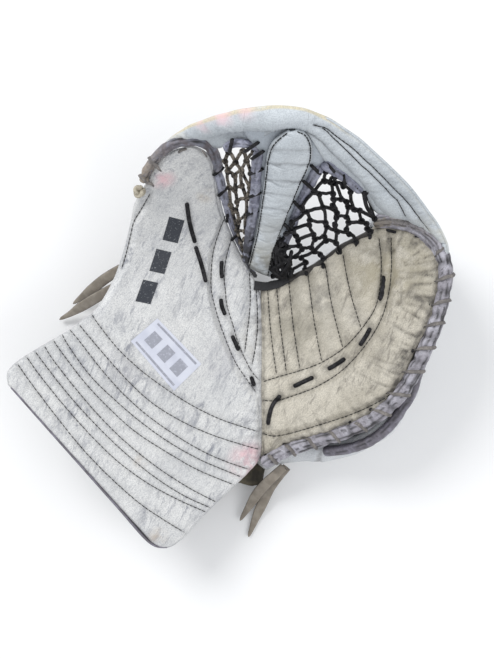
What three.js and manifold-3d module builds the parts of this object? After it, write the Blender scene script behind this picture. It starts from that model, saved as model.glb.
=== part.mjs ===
// Goalie catch glove, lying on its back with the pocket open to the sky.
// Millimetres, +Z up out of the pocket, +Y from the heel to the top of the T web, +X to the fingers.
// The origin is on the flat underside of the back-of-hand pad, under the break.
// The glove closes about the break, a line along +Y at x = 0 and z = BREAK_Z: the T web turns half
// as far as the thumb side, so its axis and the thumb's axis are the same line.
import * as THREE from "three";
import { mergeVertices } from "three/addons/utils/BufferGeometryUtils.js";
import Module from "manifold-3d";

const wasm = await Module();
wasm.setup();

// ---------- driving dimensions ----------
const BREAK_Z = 56; // height of the leather along the break, and of the closing axis
const BREAK_SOFTNESS = 40; // how far from the break its fold is rounded
const PALM_SLOPE = 0.55; // rise of the palm per mm away from the break
const THUMB_SLOPE = 0.4; // rise of the thumb and cuff board per mm away from the break
const THUMB_CURL = 0.0063; // how fast the thumb curls up past CURL_FROM_Y
const CURL_FROM_Y = 80;
const WEB_FOOT = { y: 89, z: 58 }; // foot of the T web at the bottom of the pocket
const WEB_RISE = 0.75; // slope of the web at its foot
const WEB_CURVE = 0.00515; // how fast that slope grows
const GAP = 0.6; // air between two layers that touch in use
const LEATHER = 3; // facing leather with its thin foam
const PADDING = 7; // foam or board under a facing
const LINING = 1.8; // fabric lining on the hand's side
const ROLL_RADIUS = 6.5; // rolled leather binding round the palm
const TIP_ROLL_RADIUS = 4.5; // the same round the thumb's tip
const NET_ROLL_RADIUS = 4; // rolled leather that the nets are tied to
const SHELL_ROLL_RADIUS = 4; // binding on the edge of the finger shell
const SHELL_DROP = 22; // top edge of the finger shell below the palm
const LACE_RADIUS = 1.6; // waxed skate lace
const NET_CORD_RADIUS = 1.4;
const PAD_THICKNESS = 11; // back-of-hand and wrist pads
const RIM_THICKNESS = 10; // padded perimeter of the T
const THUMB_WING_THICKNESS = 7;
const TAIL_WIDTH = 10; // rawhide lace ends
const TAIL_THICKNESS = 2.6;
const WRIST_STRAP_WIDTH = 38;
const SLEEVE_RADIUS = 19; // thumb sleeve, outside
const SLEEVE_WALL = 4;

// ---------- materials ----------
const look = (color, roughness) => new THREE.MeshStandardMaterial({ color, roughness, metalness: 0 });
const whiteLeather = look(0xdcdcd4, 0.6);
const palmLeather = look(0xd3cdbd, 0.65);
const webLeather = look(0xccd6dc, 0.55);
const greyRoll = look(0x8f8b93, 0.7);
const blueRoll = look(0x7f86a0, 0.7);
const darkCord = look(0x202124, 0.6);
const rawhide = look(0x8d8378, 0.7);
const darkFabric = look(0x3b3a3c, 0.9);
const foam = look(0x55565a, 0.95);
const plastic = look(0x1d1d1f, 0.4);
const paper = look(0xdfe3f2, 0.5);

// ---------- the pocket's surfaces, as heights over the plan ----------
const spread = (x) => Math.hypot(x, BREAK_SOFTNESS) - BREAK_SOFTNESS;
const palmHeight = (x) => BREAK_Z + PALM_SLOPE * spread(x);
const thumbHeight = (x, y) => BREAK_Z + THUMB_SLOPE * spread(x) + THUMB_CURL * Math.max(0, y - CURL_FROM_Y) ** 2;
const webHeight = (y) => WEB_FOOT.z + WEB_RISE * (y - WEB_FOOT.y) + WEB_CURVE * (y - WEB_FOOT.y) ** 2;

// ---------- outlines in plan, [x, y] ----------
const PALM_RIM = [
  [0, -74], [11, -66.5], [25, -59.5], [42, -53.5], [57, -48], [73, -42], [86, -35.5], [98, -28], [108.5, -18.5],
  [118, -8], [125, 3], [132, 16.5], [138, 31], [143, 43], [147, 56], [150.5, 70], [153, 84], [154, 96],
  [153, 106], [149.5, 115.5], [144, 123], [137, 130], [128, 136], [119, 139.5], [110, 141.5], [99, 142.5],
];
const PALM_NET_EDGE = [[97, 141], [92, 133], [82, 128], [69, 121], [54, 110], [39, 100], [23, 93], [3, 87]];
const PALM_OUTLINE = [
  [2.5, -62], [7, -59], [21, -51.5], [38.5, -45.5], [53.5, -40], [69.5, -34], [82, -28], [93, -21], [102.5, -12.5],
  [111, -3], [117.5, 7], [124, 20], [130, 34], [135, 46], [139, 58], [142, 72], [144.5, 85], [145.5, 96],
  [144.5, 104], [142, 111.5], [137.5, 117.5], [131.5, 123.5], [124, 128.5], [116.5, 131.5], [109, 133],
  [101, 131], [90, 125.5], [84, 123], [71, 116], [57, 106], [42, 96], [25, 88], [4, 82],
];
const PALM_BREAK = [[2, -60], [2, 9], [2, 81]];
const BOARD_LEFT = [
  [-212, 3], [-212.5, 11], [-207.5, 18], [-188, 31.5], [-172, 41.5], [-160, 49.5], [-148, 60.5], [-136, 76.5],
  [-125.5, 97], [-118, 118], [-113, 134], [-110, 144], [-106, 153], [-100.5, 160.5], [-95, 167.5], [-89.5, 175.5],
  [-83.5, 182.5], [-76.5, 188], [-68.5, 191.5],
];
const BOARD_RIGHT = [
  [-96, -139], [-88.5, -144], [-80, -143], [-70, -136], [-55, -121.5], [-42, -109], [-27, -95], [-12, -80],
  [-3.5, -64], [-3, 0], [-3, 66], [-6, 84], [-15, 100], [-22, 114], [-30, 132], [-37, 148], [-41, 160],
  [-44, 172], [-46, 182], [-52, 190.5], [-60.5, 192.5],
];
const THUMB_RIM = [
  [-100, 170.5], [-96, 177.5], [-91, 184], [-84.5, 190.5], [-77, 195.5], [-69, 198.5], [-61, 199.8], [-53, 200],
  [-46.5, 197.5], [-42, 193.5], [-39.5, 188.5], [-38, 183], [-37.5, 177],
];
const THUMB_NET_EDGE = [[-33.5, 163], [-32, 156], [-29, 147], [-22, 130], [-16, 116], [-13, 109]];

// ---------- outlines in space, [x, y, z] ----------
const RIM_CENTRE_OUTER = [[-11, 208, 218], [4, 208.5, 219.5], [19, 208.5, 219.5], [33, 206.5, 218]];
const RIM_CENTRE_INNER = [[-11, 201, 203], [4, 202, 206], [19, 202, 206], [33, 200, 204]];
const FINGER_WING_OUTER = [
  [35, 206, 217.5], [50, 200.5, 211.5], [63, 193, 204], [78, 183.5, 195], [95, 171, 183],
  [112, 155, 167], [127, 141, 153], [138, 131, 143],
];
const FINGER_WING_INNER = [[35, 199, 203], [52, 187, 190], [74, 170, 161], [94, 156, 130], [104, 151, 115]];
const THUMB_WING_OUTER = [
  [-17, 208.5, 214], [-28, 207.5, 206], [-40, 207, 196], [-52, 206.5, 184], [-64, 205.5, 171], [-76, 202.5, 161],
  [-85, 197, 153],
];
const THUMB_WING_INNER = [
  [-17, 200.5, 199], [-26, 200.5, 193.5], [-38, 202, 185], [-52, 204.5, 172], [-64, 206, 162], [-75, 204.5, 155],
  [-84, 200, 148],
];
const TEE_LEFT = [[-10, 101, 68], [-7, 126, 93], [-4, 156, 131], [-2, 176, 163], [-4, 187, 181], [-17, 194, 193]];
const TEE_RIGHT = [[9, 101, 68], [16, 126, 93], [28, 156, 131], [36, 176, 163], [41, 188, 183], [33, 197.5, 200]];
const SPINE_LEFT = [[-9, 103, 70], [-5, 128, 95], [0, 160, 137], [3, 178, 166], [7, 190, 186], [14, 195, 196]];
const SPINE_RIGHT = [[7, 103, 70], [18, 140, 110], [29, 166, 146], [35, 180, 169], [33, 190, 186], [26, 195, 196]];
const TEE_ROLL_LEFT = [[-14.5, 115, 82], [-13, 126, 94], [-10, 156, 132], [-8, 175, 162], [-9, 184, 177]];
const TEE_ROLL_RIGHT = [[15, 104, 70], [22, 126, 93], [34, 156, 131], [42, 173, 158]];
const TOP_ROLL_LEFT = [[-31, 191, 171], [-27, 194, 177], [-20, 195.5, 181], [-16, 194, 181]];
const WING_ROLL = [[53, 179, 181], [70, 165, 157], [85, 153, 134], [94, 147, 119]];

// The free ends of the rawhide lace, from where each leaves the glove to its tip on the floor.
const HEEL_TAIL_UPPER = [[20, -77.5, 43], [12, -86, 37], [4, -95, 28], [-4, -106, 17], [-12, -120, 8], [-20, -133, 4]];
const HEEL_TAIL_LOWER = [[23, -79, 33], [16, -88, 25], [8, -100, 17], [1, -116, 9], [-6, -133, 3], [-12, -149, 2]];
const THUMB_TAIL_UPPER = [
  [-117, 107, 68], [-129, 101, 63], [-144, 93, 49], [-157, 85, 32], [-168, 79, 16], [-178, 73, 5.5],
];
const THUMB_TAIL_LOWER = [
  [-126, 89, 66], [-140, 82, 59], [-155, 75, 43], [-168, 69, 26], [-180, 63, 12], [-191, 58, 5.5],
];
const THUMB_TAIL_TILT = [-0.3, -0.5, 0.8];

// ---------- geometry helpers ----------
const vec = (p) => new THREE.Vector3(...p);
const curve = (points) => new THREE.CatmullRomCurve3(points.map(vec), false, "centripetal");
const planCurve = (points) => curve(points.map(([x, y]) => [x, y, 0]));
const lift = (points, height, above = 0) => points.map(([x, y]) => [x, y, height(x, y) + above]);
const mix = THREE.MathUtils.lerp;

// The geometry with only its positions, shared vertices merged, and its faces turned outwards.
function closed(geometry) {
  geometry.deleteAttribute("normal");
  geometry.deleteAttribute("uv");
  const merged = mergeVertices(geometry, 1e-3);
  const position = merged.attributes.position;
  const index = merged.index.array;
  const corners = [new THREE.Vector3(), new THREE.Vector3(), new THREE.Vector3()];
  let volume = 0;
  for (let i = 0; i < index.length; i += 3) {
    corners.forEach((corner, k) => corner.fromBufferAttribute(position, index[i + k]));
    volume += corners[0].dot(corners[1].cross(corners[2]));
  }
  if (volume < 0) {
    for (let i = 0; i < index.length; i += 3) {
      [index[i], index[i + 1]] = [index[i + 1], index[i]];
    }
  }
  merged.computeVertexNormals();
  return merged;
}

// A box of nu x nv x nw cells whose points are moved to place(u, v, w), each from 0 to 1.
function panel(nu, nv, place, nw = 1) {
  const box = new THREE.BoxGeometry(1, 1, 1, nu, nv, nw);
  const position = box.attributes.position;
  for (let i = 0; i < position.count; i++) {
    const p = place(position.getX(i) + 0.5, position.getY(i) + 0.5, position.getZ(i) + 0.5);
    position.setXYZ(i, ...p);
  }
  return closed(box);
}

// A layer between two plan curves: its top is `depth` under the surface, margin shortens it at its edges.
function layer(left, right, height, depth, thickness, nu, nv, margin = 0) {
  const [a, b] = [planCurve(left), planCurve(right)];
  return panel(nu, nv, (u, v, w) => {
    const t = mix(margin, 1 - margin, u);
    const p = a.getPointAt(t).lerp(b.getPointAt(t), mix(margin, 1 - margin, v));
    return [p.x, p.y, height(p.x, p.y) - depth - thickness * (1 - w)];
  });
}

// A padded band between two curves in space. Its front faces across x along, `depth` behind the curves.
function ribbon(from, to, thickness, nu, nv, { depth = 0, crown = 0 } = {}) {
  const [a, b] = [curve(from), curve(to)];
  return panel(nu, nv, (u, v, w) => {
    const [p, q] = [a.getPointAt(u), b.getPointAt(u)];
    const along = a.getTangentAt(u).lerp(b.getTangentAt(u), v);
    const front = q.clone().sub(p).cross(along).normalize();
    const swell = crown * (4 * v * (1 - v));
    p.lerp(q, v).addScaledVector(front, w ? swell - depth : -depth - thickness);
    return p.toArray();
  });
}

// A round tube along a curve.
function roll(points, radius, steps, sides = 8) {
  const ring = Array.from({ length: sides }, (_, i) => {
    const angle = (2 * Math.PI * i) / sides;
    return new THREE.Vector2(radius * Math.cos(angle), radius * Math.sin(angle));
  });
  return closed(
    new THREE.ExtrudeGeometry(new THREE.Shape(ring), { steps, bevelEnabled: false, extrudePath: curve(points) }),
  );
}

// A flat strap along a curve, its width square to the curve and to `up`.
function strap(points, width, thickness, steps, up) {
  const route = curve(points);
  return panel(steps, 1, (u, v, w) => {
    const along = route.getTangentAt(u);
    const across = vec(up).cross(along).normalize();
    const normal = along.clone().cross(across);
    const p = route.getPointAt(u);
    p.addScaledVector(across, (v - 0.5) * width).addScaledVector(normal, (w - 0.5) * thickness);
    return p.toArray();
  });
}

// A flat pad cut to a plan outline, with softened edges, from z to z + thickness.
function pad(outline, z, thickness, soften = 2) {
  const shape = new THREE.Shape(outline.map(([x, y]) => new THREE.Vector2(x, y)));
  const block = new THREE.ExtrudeGeometry(shape, {
    depth: thickness - 2 * soften, bevelThickness: soften, bevelSize: soften, bevelOffset: -soften, bevelSegments: 1,
  });
  return closed(block.translate(0, 0, z + soften));
}

// Points along a plan curve, each moved to place(point), an [outward, z] pair.
function beside(rim, steps, place) {
  const route = planCurve(rim);
  return Array.from({ length: steps + 1 }, (_, i) => {
    const p = route.getPointAt(i / steps);
    const along = route.getTangentAt(i / steps);
    const [outward, z] = place(p);
    return [p.x + along.y * outward, p.y - along.x * outward, z];
  });
}

// A wall hung from a rim: profile(height, point) gives its outer and inner lines as [outward, z] points.
function wall(rim, height, profile, nu, nv) {
  const route = planCurve(rim);
  return panel(nu, nv, (u, v, w) => {
    const p = route.getPointAt(u);
    const along = route.getTangentAt(u);
    const lines = profile(height(p.x, p.y), p).map(
      (line) => new THREE.SplineCurve(line.map(([o, z]) => new THREE.Vector2(o, z))),
    );
    const [outward, z] = lines[w ? 1 : 0].getPoint(v).toArray();
    return [p.x + along.y * outward, p.y - along.x * outward, z];
  });
}

// A lace that goes back and forth over a rolled edge, from `from` to `to` along the rim.
function whipLace(rim, height, rollRadius, loops, from, to, reach, radius = LACE_RADIUS, sides = 5) {
  const route = planCurve(rim);
  const round = rollRadius + radius + 2.2;
  const angles = [150, 90, 30].map((degrees) => THREE.MathUtils.degToRad(degrees));
  const stations = angles.map((angle) => [round * Math.cos(angle), round * Math.sin(angle)]);
  const cycle = [...stations, [round, -reach], ...stations.slice().reverse()];
  const points = [];
  for (let loop = 0; loop < loops; loop++) {
    cycle.forEach(([outward, up], k) => {
      const t = mix(from, to, (loop + k / cycle.length) / loops);
      const p = route.getPointAt(t);
      const along = route.getTangentAt(t);
      points.push([p.x + along.y * outward, p.y - along.x * outward, height(p.x, p.y) - 2 + up]);
    });
  }
  return roll(points, radius, points.length * 2, sides);
}

// Closed meshes joined into one.
function join(geometries) {
  const solids = geometries.map((geometry) => new wasm.Manifold(new wasm.Mesh({
    numProp: 3,
    vertProperties: geometry.attributes.position.array,
    triVerts: new Uint32Array(geometry.index.array),
  })));
  const mesh = solids.reduce((sum, solid) => sum.add(solid)).getMesh();
  const geometry = new THREE.BufferGeometry();
  geometry.setAttribute("position", new THREE.BufferAttribute(mesh.vertProperties, mesh.numProp));
  geometry.setIndex(new THREE.BufferAttribute(mesh.triVerts, 1));
  return closed(geometry);
}

// A laced net on a four-sided patch: `rows` cords run from side to side and `columns` from top to foot.
function net(left, right, top, rows, columns) {
  const [a, b, c] = [curve(left), curve(right), curve(top)];
  const at = (u, v) => {
    const chord = vec(left[0]).lerp(vec(right[0]), u);
    const swell = c.getPoint(u).sub(chord).multiplyScalar((1 - v) ** 2);
    return a.getPointAt(v).lerp(b.getPointAt(v), u).add(swell).toArray();
  };
  const samples = [0, 0.25, 0.5, 0.75, 1];
  const cord = (points) => roll(points, NET_CORD_RADIUS, 6, 4);
  const cords = [];
  for (let i = 0; i < rows; i++) {
    cords.push(cord(samples.map((u) => at(u, i / (rows - 1)))));
  }
  for (let j = 0; j < columns; j++) {
    cords.push(cord(samples.map((v) => at(j / (columns - 1), v))));
  }
  return join(cords);
}

// ---------- the palm and finger side ----------
// How far the shell's top edge leans out past the palm. It is widest under the ring finger.
const shellLean = (p) => (p.y < 40 ? 12 * Math.exp(-(((p.x - 90) / 30) ** 2)) : 0);

function fingerShellProfile(rimHeight, p) {
  const top = rimHeight - SHELL_DROP;
  const foot = 1.5;
  const lean = shellLean(p);
  const at = (share) => mix(foot, top, share);
  return [
    [[-4 + lean, top], [2 + 0.6 * lean, at(0.62)], [1.5 + 0.3 * lean, at(0.32)], [-9, at(0.07) + 8], [-34, foot + 8]],
    [[3 + lean, top], [10 + 0.6 * lean, at(0.62)], [9 + 0.3 * lean, at(0.3)], [-4, at(0.07)], [-34, foot]],
  ];
}

function gussetProfile(rimHeight) {
  const top = rimHeight - 16;
  return [
    [[-4, top], [0, top * 0.5], [-8, 2]],
    [[-1, top], [3, top * 0.5], [-5, 2]],
  ];
}

function fingerSeparator(y, farX) {
  return panel(4, 1, (u, v, w) => {
    const x = mix(58, farX, u);
    return [x, y + (w - 0.5) * 2, mix(14, palmHeight(x) - 15, v)];
  });
}

const palmParts = {
  palm_facing: [layer(PALM_BREAK, PALM_OUTLINE, palmHeight, 0, LEATHER, 22, 8), palmLeather],
  palm_padding: [layer(PALM_BREAK, PALM_OUTLINE, palmHeight, LEATHER + GAP, PADDING, 22, 8, 0.01), foam],
  palm_lining: [
    layer(PALM_BREAK, PALM_OUTLINE, palmHeight, LEATHER + PADDING + 2 * GAP, LINING, 22, 8, 0.02), darkFabric,
  ],
  palm_edge_roll: [roll(lift(PALM_RIM, palmHeight, -2), ROLL_RADIUS, 34), greyRoll],
  shell_edge_roll: [
    roll(beside(PALM_RIM, 30, (p) => [3 + shellLean(p), palmHeight(p.x) - 16]), SHELL_ROLL_RADIUS, 34, 6),
    greyRoll,
  ],
  finger_shell: [wall(PALM_RIM, palmHeight, fingerShellProfile, 24, 7), whiteLeather],
  index_gusset: [wall([[88, 131], ...PALM_NET_EDGE.slice(2)], palmHeight, gussetProfile, 10, 3), whiteLeather],
  back_hand_pad: [
    pad([[-27, -45], [-12, -35], [9, -23], [30, -14], [50, -7], [76, 8], [94, 29], [106, 53], [113, 80],
      [115, 92], [108, 99], [97, 104], [93, 117], [76, 108], [61, 97], [46, 88], [28, 79], [5, 73],
      [-18, 62], [-32, 20], [-47, -16]], 0, PAD_THICKNESS),
    whiteLeather,
  ],
  wrist_pad: [
    pad([[4, -84], [-27, -51], [-49, -18], [-70, -22], [-110, -56], [-111, -68], [-68, -111],
      [-56, -112], [-28, -99], [-8, -101], [2, -98]], 0, PAD_THICKNESS),
    darkFabric,
  ],
  edge_lace: [whipLace(PALM_RIM, palmHeight, ROLL_RADIUS, 15, 0.03, 0.9, 6), rawhide],
  palm_lace: [
    roll(lift([[105, 98], [102, 73], [94, 50], [85, 34], [73, 23], [58, 13], [44, 5], [28, -3], [17, -10],
      [9, -24], [8, -38]], palmHeight, LACE_RADIUS + 0.6), LACE_RADIUS, 30, 6),
    darkCord,
  ],
  palm_net_roll: [
    roll(lift(PALM_NET_EDGE.slice(1).map(([x, y]) => [x, y]), palmHeight, -3), NET_ROLL_RADIUS - 0.5, 16, 6), darkCord,
  ],
  pocket_strap: [
    strap(lift([[5, 77], [16, 80], [28, 85], [38, 90]], palmHeight, 2), 8, 2, 5, [0, 0, 1]), darkFabric,
  ],
  hand_strap: [
    panel(1, 8, (u, v, w) => [mix(26, 58, u), mix(-8, 72, v), 12 + 5 * Math.sin(Math.PI * v) + 2.4 * w]), darkFabric,
  ],
  finger_separator_1: [fingerSeparator(2, 88), darkFabric],
  finger_separator_2: [fingerSeparator(31, 103), darkFabric],
  finger_separator_3: [fingerSeparator(60, 110), darkFabric],
  rim_finger_side: [
    ribbon(FINGER_WING_OUTER, FINGER_WING_INNER, RIM_THICKNESS, 14, 5, { crown: 2 }), webLeather,
  ],
  wing_net_roll: [roll(WING_ROLL, NET_ROLL_RADIUS, 8, 6), blueRoll],
  net_finger_side: [
    net([[48, 170, 158], [37, 148, 124], [28, 122, 92], [21, 105, 71]],
      [[86, 141, 108], [78, 132, 97], [62, 121, 86], [27, 103, 70]],
      [[48, 170, 158], [58, 163, 152], [72, 151, 134], [86, 141, 108]], 5, 5),
    darkCord,
  ],
  heel_tail_upper: [strap(HEEL_TAIL_UPPER, TAIL_WIDTH, TAIL_THICKNESS, 20, [0, 0, 1]), rawhide],
  heel_tail_lower: [strap(HEEL_TAIL_LOWER, TAIL_WIDTH, TAIL_THICKNESS, 22, [0, 0, 1]), rawhide],
};

// ---------- the T web ----------
const webParts = {
  tee_panel: [ribbon(TEE_LEFT, TEE_RIGHT, 6, 14, 4), webLeather],
  spine_pad: [ribbon(SPINE_LEFT, SPINE_RIGHT, 5, 14, 4, { depth: -5.5, crown: 2 }), webLeather],
  tee_back_panel: [ribbon(TEE_LEFT.slice(1, -1), TEE_RIGHT.slice(1, -1), 3, 10, 3, { depth: 6.5 }), whiteLeather],
  tee_roll_thumb_side: [roll(TEE_ROLL_LEFT, NET_ROLL_RADIUS, 10, 6), blueRoll],
  tee_roll_top: [roll(TOP_ROLL_LEFT, NET_ROLL_RADIUS - 0.5, 6, 6), blueRoll],
  tee_roll_finger_side: [roll(TEE_ROLL_RIGHT, NET_ROLL_RADIUS, 10, 6), blueRoll],
  rim_centre: [ribbon(RIM_CENTRE_OUTER, RIM_CENTRE_INNER, RIM_THICKNESS, 6, 5, { crown: 2 }), webLeather],
};

// ---------- the thumb and cuff side ----------
const UNDER_BOARD = LEATHER + PADDING + LINING + 2 * GAP;

function thumbSleeve() {
  const outline = new THREE.Shape().absarc(0, 0, SLEEVE_RADIUS, 0, 2 * Math.PI);
  outline.holes.push(new THREE.Path().absarc(0, 0, SLEEVE_RADIUS - SLEEVE_WALL, 0, 2 * Math.PI, true));
  const tube = new THREE.ExtrudeGeometry(outline, { depth: 72, bevelEnabled: false, curveSegments: 10 });
  return closed(tube.rotateX(-Math.PI / 2).translate(-66, 16, 36));
}

const label = (u, v, w) => {
  const [x, y] = [mix(-92, -56, u) - 22 * v, mix(58, 21, u) - 23 * v];
  return [x, y, thumbHeight(x, y) + 0.5 + 0.6 * w];
};

const thumbParts = {
  thumb_cuff_facing: [layer(BOARD_LEFT, BOARD_RIGHT, thumbHeight, 0, LEATHER, 22, 8), whiteLeather],
  thumb_cuff_board: [
    layer(BOARD_LEFT, BOARD_RIGHT, thumbHeight, LEATHER + GAP, PADDING, 22, 8, 0.008), foam,
  ],
  thumb_cuff_lining: [
    layer(BOARD_LEFT, BOARD_RIGHT, thumbHeight, LEATHER + PADDING + 2 * GAP, LINING, 22, 8, 0.016), darkFabric,
  ],
  cuff_end_binding: [
    panel(8, 1, (u, v, w) => {
      const [x, y] = [mix(-215, -98.5, u) - 1.6 * w, mix(1, -142.5, u) - 1.3 * w];
      return [x, y, thumbHeight(x, y) + mix(-13, 0.5, v)];
    }),
    greyRoll,
  ],
  thumb_tip_roll: [roll(lift(THUMB_RIM, thumbHeight, -3), TIP_ROLL_RADIUS, 20), greyRoll],
  thumb_net_roll: [roll(lift(THUMB_NET_EDGE, thumbHeight, -2), NET_ROLL_RADIUS, 12, 6), blueRoll],
  thumb_tip_lace: [
    whipLace(THUMB_RIM.slice().reverse(), thumbHeight, TIP_ROLL_RADIUS, 2, 0.72, 0.97, 6, 2), rawhide,
  ],
  thumb_tip_knot: [new THREE.SphereGeometry(5, 12, 8).translate(-103.5, 162.5, 132), rawhide],
  thumb_lace_upper: [
    roll(lift([[-65, 156], [-63, 140], [-59, 124]], thumbHeight, LACE_RADIUS + 0.8), LACE_RADIUS, 8, 6), darkCord,
  ],
  thumb_lace_lower: [
    roll(lift([[-58, 120], [-54, 106], [-49, 88]], thumbHeight, LACE_RADIUS + 0.8), LACE_RADIUS, 8, 6), darkCord,
  ],
  thumb_seam_lace: [
    roll(lift([[-36, 112], [-37, 94], [-37, 76], [-33, 61], [-27, 43], [-20, 28], [-14, 15], [-10, 5]],
      thumbHeight, LACE_RADIUS + 0.6), LACE_RADIUS, 18, 6),
    darkCord,
  ],
  thumb_sleeve: [thumbSleeve(), darkFabric],
  rim_thumb_side: [
    ribbon(THUMB_WING_INNER, THUMB_WING_OUTER, THUMB_WING_THICKNESS, 12, 4, { crown: 1 }), webLeather,
  ],
  net_thumb_side: [
    net([[-30, 186, 163], [-27, 176, 138], [-26, 160, 108], [-19.5, 132, 79], [-17, 119, 71]],
      [[-17, 185, 167], [-15.5, 174, 151], [-16, 158, 129], [-19, 130, 93], [-20, 120, 83]],
      [[-30, 186, 163], [-24, 186, 165], [-17, 185, 167]], 6, 3),
    darkCord,
  ],
  thumb_tail_upper: [strap(THUMB_TAIL_UPPER, TAIL_WIDTH, TAIL_THICKNESS, 20, THUMB_TAIL_TILT), rawhide],
  thumb_tail_lower: [strap(THUMB_TAIL_LOWER, TAIL_WIDTH, TAIL_THICKNESS, 20, THUMB_TAIL_TILT), rawhide],
  blank_label: [panel(4, 4, label), paper],
};

// ---------- the wrist strap, square to the wrist, which enters at 45 degrees ----------
const WRIST = { x: -72, y: -58 }; // middle of the wrist, in plan
const TAB_PIVOT = { across: 60, z: 60 };
const atWrist = (across, along, z) => [
  WRIST.x + Math.SQRT1_2 * (along - across), WRIST.y + Math.SQRT1_2 * (along + across), z,
];
const strapRoute = [[50, 66], [49, 52], [39, 29], [15, 21], [-15, 21], [-35, 26], [-43, 37], [-44, 45]];

function wristRing() {
  const [length, width] = [WRIST_STRAP_WIDTH + 9, 12];
  const outer = new THREE.Shape();
  outer.moveTo(-length / 2, -width / 2).lineTo(length / 2, -width / 2);
  outer.lineTo(length / 2, width / 2).lineTo(-length / 2, width / 2).closePath();
  const slot = new THREE.Path();
  const [slotLength, slotWidth] = [WRIST_STRAP_WIDTH + 2, 5];
  slot.moveTo(-slotLength / 2, -slotWidth / 2).lineTo(-slotLength / 2, slotWidth / 2);
  slot.lineTo(slotLength / 2, slotWidth / 2).lineTo(slotLength / 2, -slotWidth / 2).closePath();
  outer.holes.push(slot);
  const ring = new THREE.ExtrudeGeometry(outer, { depth: 3, bevelEnabled: false });
  return closed(ring.rotateZ(Math.PI / 4).translate(...atWrist(50, 0, 60)));
}

Object.assign(thumbParts, {
  wrist_strap: [
    strap(strapRoute.map(([across, z]) => atWrist(across, 0, z)), WRIST_STRAP_WIDTH, 2.4, 20,
      [-Math.SQRT1_2, Math.SQRT1_2, 0.001]),
    darkFabric,
  ],
  wrist_ring: [wristRing(), plastic],
});

const tabParts = {
  wrist_strap_tab: [
    panel(6, 1, (u, v, w) => atWrist(
      mix(TAB_PIVOT.across, 54, u) + 2.2 * w, (v - 0.5) * (WRIST_STRAP_WIDTH - 4), mix(TAB_PIVOT.z - 1, 20, u),
    )),
    darkFabric,
  ],
};

// ---------- the glove ----------
const glove = new THREE.Group();
for (const parts of [palmParts, webParts, thumbParts, tabParts]) {
  for (const [name, [geometry, material]] of Object.entries(parts)) {
    const mesh = new THREE.Mesh(geometry, material);
    mesh.name = name;
    glove.add(mesh);
  }
}

export default glove;
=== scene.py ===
import math
import random

import bpy
import numpy as np
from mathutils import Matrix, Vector, kdtree, noise
from mathutils.bvhtree import BVHTree


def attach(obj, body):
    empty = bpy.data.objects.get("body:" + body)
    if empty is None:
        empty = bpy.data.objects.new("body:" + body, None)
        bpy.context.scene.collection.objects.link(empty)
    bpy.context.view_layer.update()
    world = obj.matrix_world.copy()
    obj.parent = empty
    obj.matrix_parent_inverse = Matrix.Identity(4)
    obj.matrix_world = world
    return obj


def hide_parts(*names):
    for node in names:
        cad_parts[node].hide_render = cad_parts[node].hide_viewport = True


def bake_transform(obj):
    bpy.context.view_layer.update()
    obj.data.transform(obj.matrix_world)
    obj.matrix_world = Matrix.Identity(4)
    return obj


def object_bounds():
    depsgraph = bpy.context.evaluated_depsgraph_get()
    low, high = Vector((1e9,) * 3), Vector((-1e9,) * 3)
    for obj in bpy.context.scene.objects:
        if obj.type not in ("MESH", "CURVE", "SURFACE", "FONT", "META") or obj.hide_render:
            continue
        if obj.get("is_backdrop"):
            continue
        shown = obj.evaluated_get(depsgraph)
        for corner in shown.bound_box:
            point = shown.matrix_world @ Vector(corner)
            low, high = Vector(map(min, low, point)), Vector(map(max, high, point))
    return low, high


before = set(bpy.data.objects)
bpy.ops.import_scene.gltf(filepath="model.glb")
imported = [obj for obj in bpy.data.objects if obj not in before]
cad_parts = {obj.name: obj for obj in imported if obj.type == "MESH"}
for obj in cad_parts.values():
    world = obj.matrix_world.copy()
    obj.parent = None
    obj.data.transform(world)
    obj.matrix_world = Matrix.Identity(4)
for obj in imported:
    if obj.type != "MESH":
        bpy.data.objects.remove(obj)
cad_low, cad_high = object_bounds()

# The looks of a goalie catch glove. Shapes are worked out in millimetres, in the CAD frame, and scaled once.
MM = 0.001
FINE = 1.0
random.seed(7)

# ---------- driving dimensions, as in the CAD ----------
BREAK_Z = 56  # the leather's height along the break
BREAK_SOFTNESS = 40  # the break's rounding, in plan
PALM_SLOPE = 0.55
THUMB_SLOPE = 0.4
TIP_START = 80  # where the thumb's tip starts to curl up, along y
TIP_CURL = 0.0063
EDGE_ROLL_RADIUS = 6.5
TIP_ROLL_RADIUS = 4.3
SHELL_ROLL_RADIUS = 4.8
SHELL_DROP = 17
TAIL_WIDTH = 10
TAIL_THICKNESS = 2.2


def spread(x):
    return np.hypot(x, BREAK_SOFTNESS) - BREAK_SOFTNESS


def palm_z(x, y):
    return BREAK_Z + PALM_SLOPE * spread(x) + 0 * y  # 0 * y gives it y's shape


def thumb_z(x, y):
    return BREAK_Z + THUMB_SLOPE * spread(x) + TIP_CURL * np.maximum(0, y - TIP_START) ** 2


# ---------- the camera ----------
CAMERA_SENSOR = 36
CAMERA_LENS = 59
CAMERA_NEAREST = 0.05  # metres
CAMERA_PLACE = (-0.0135, 0.0482, 1.03)  # metres, straight above the glove as in the photograph
camera = bpy.data.objects.new("camera", bpy.data.cameras.new("camera"))
camera.data.sensor_width = CAMERA_SENSOR
camera.data.lens = CAMERA_LENS
camera.data.clip_start = CAMERA_NEAREST
camera.location = CAMERA_PLACE
bpy.context.scene.collection.objects.link(camera)
bpy.context.scene.camera = camera

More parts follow.
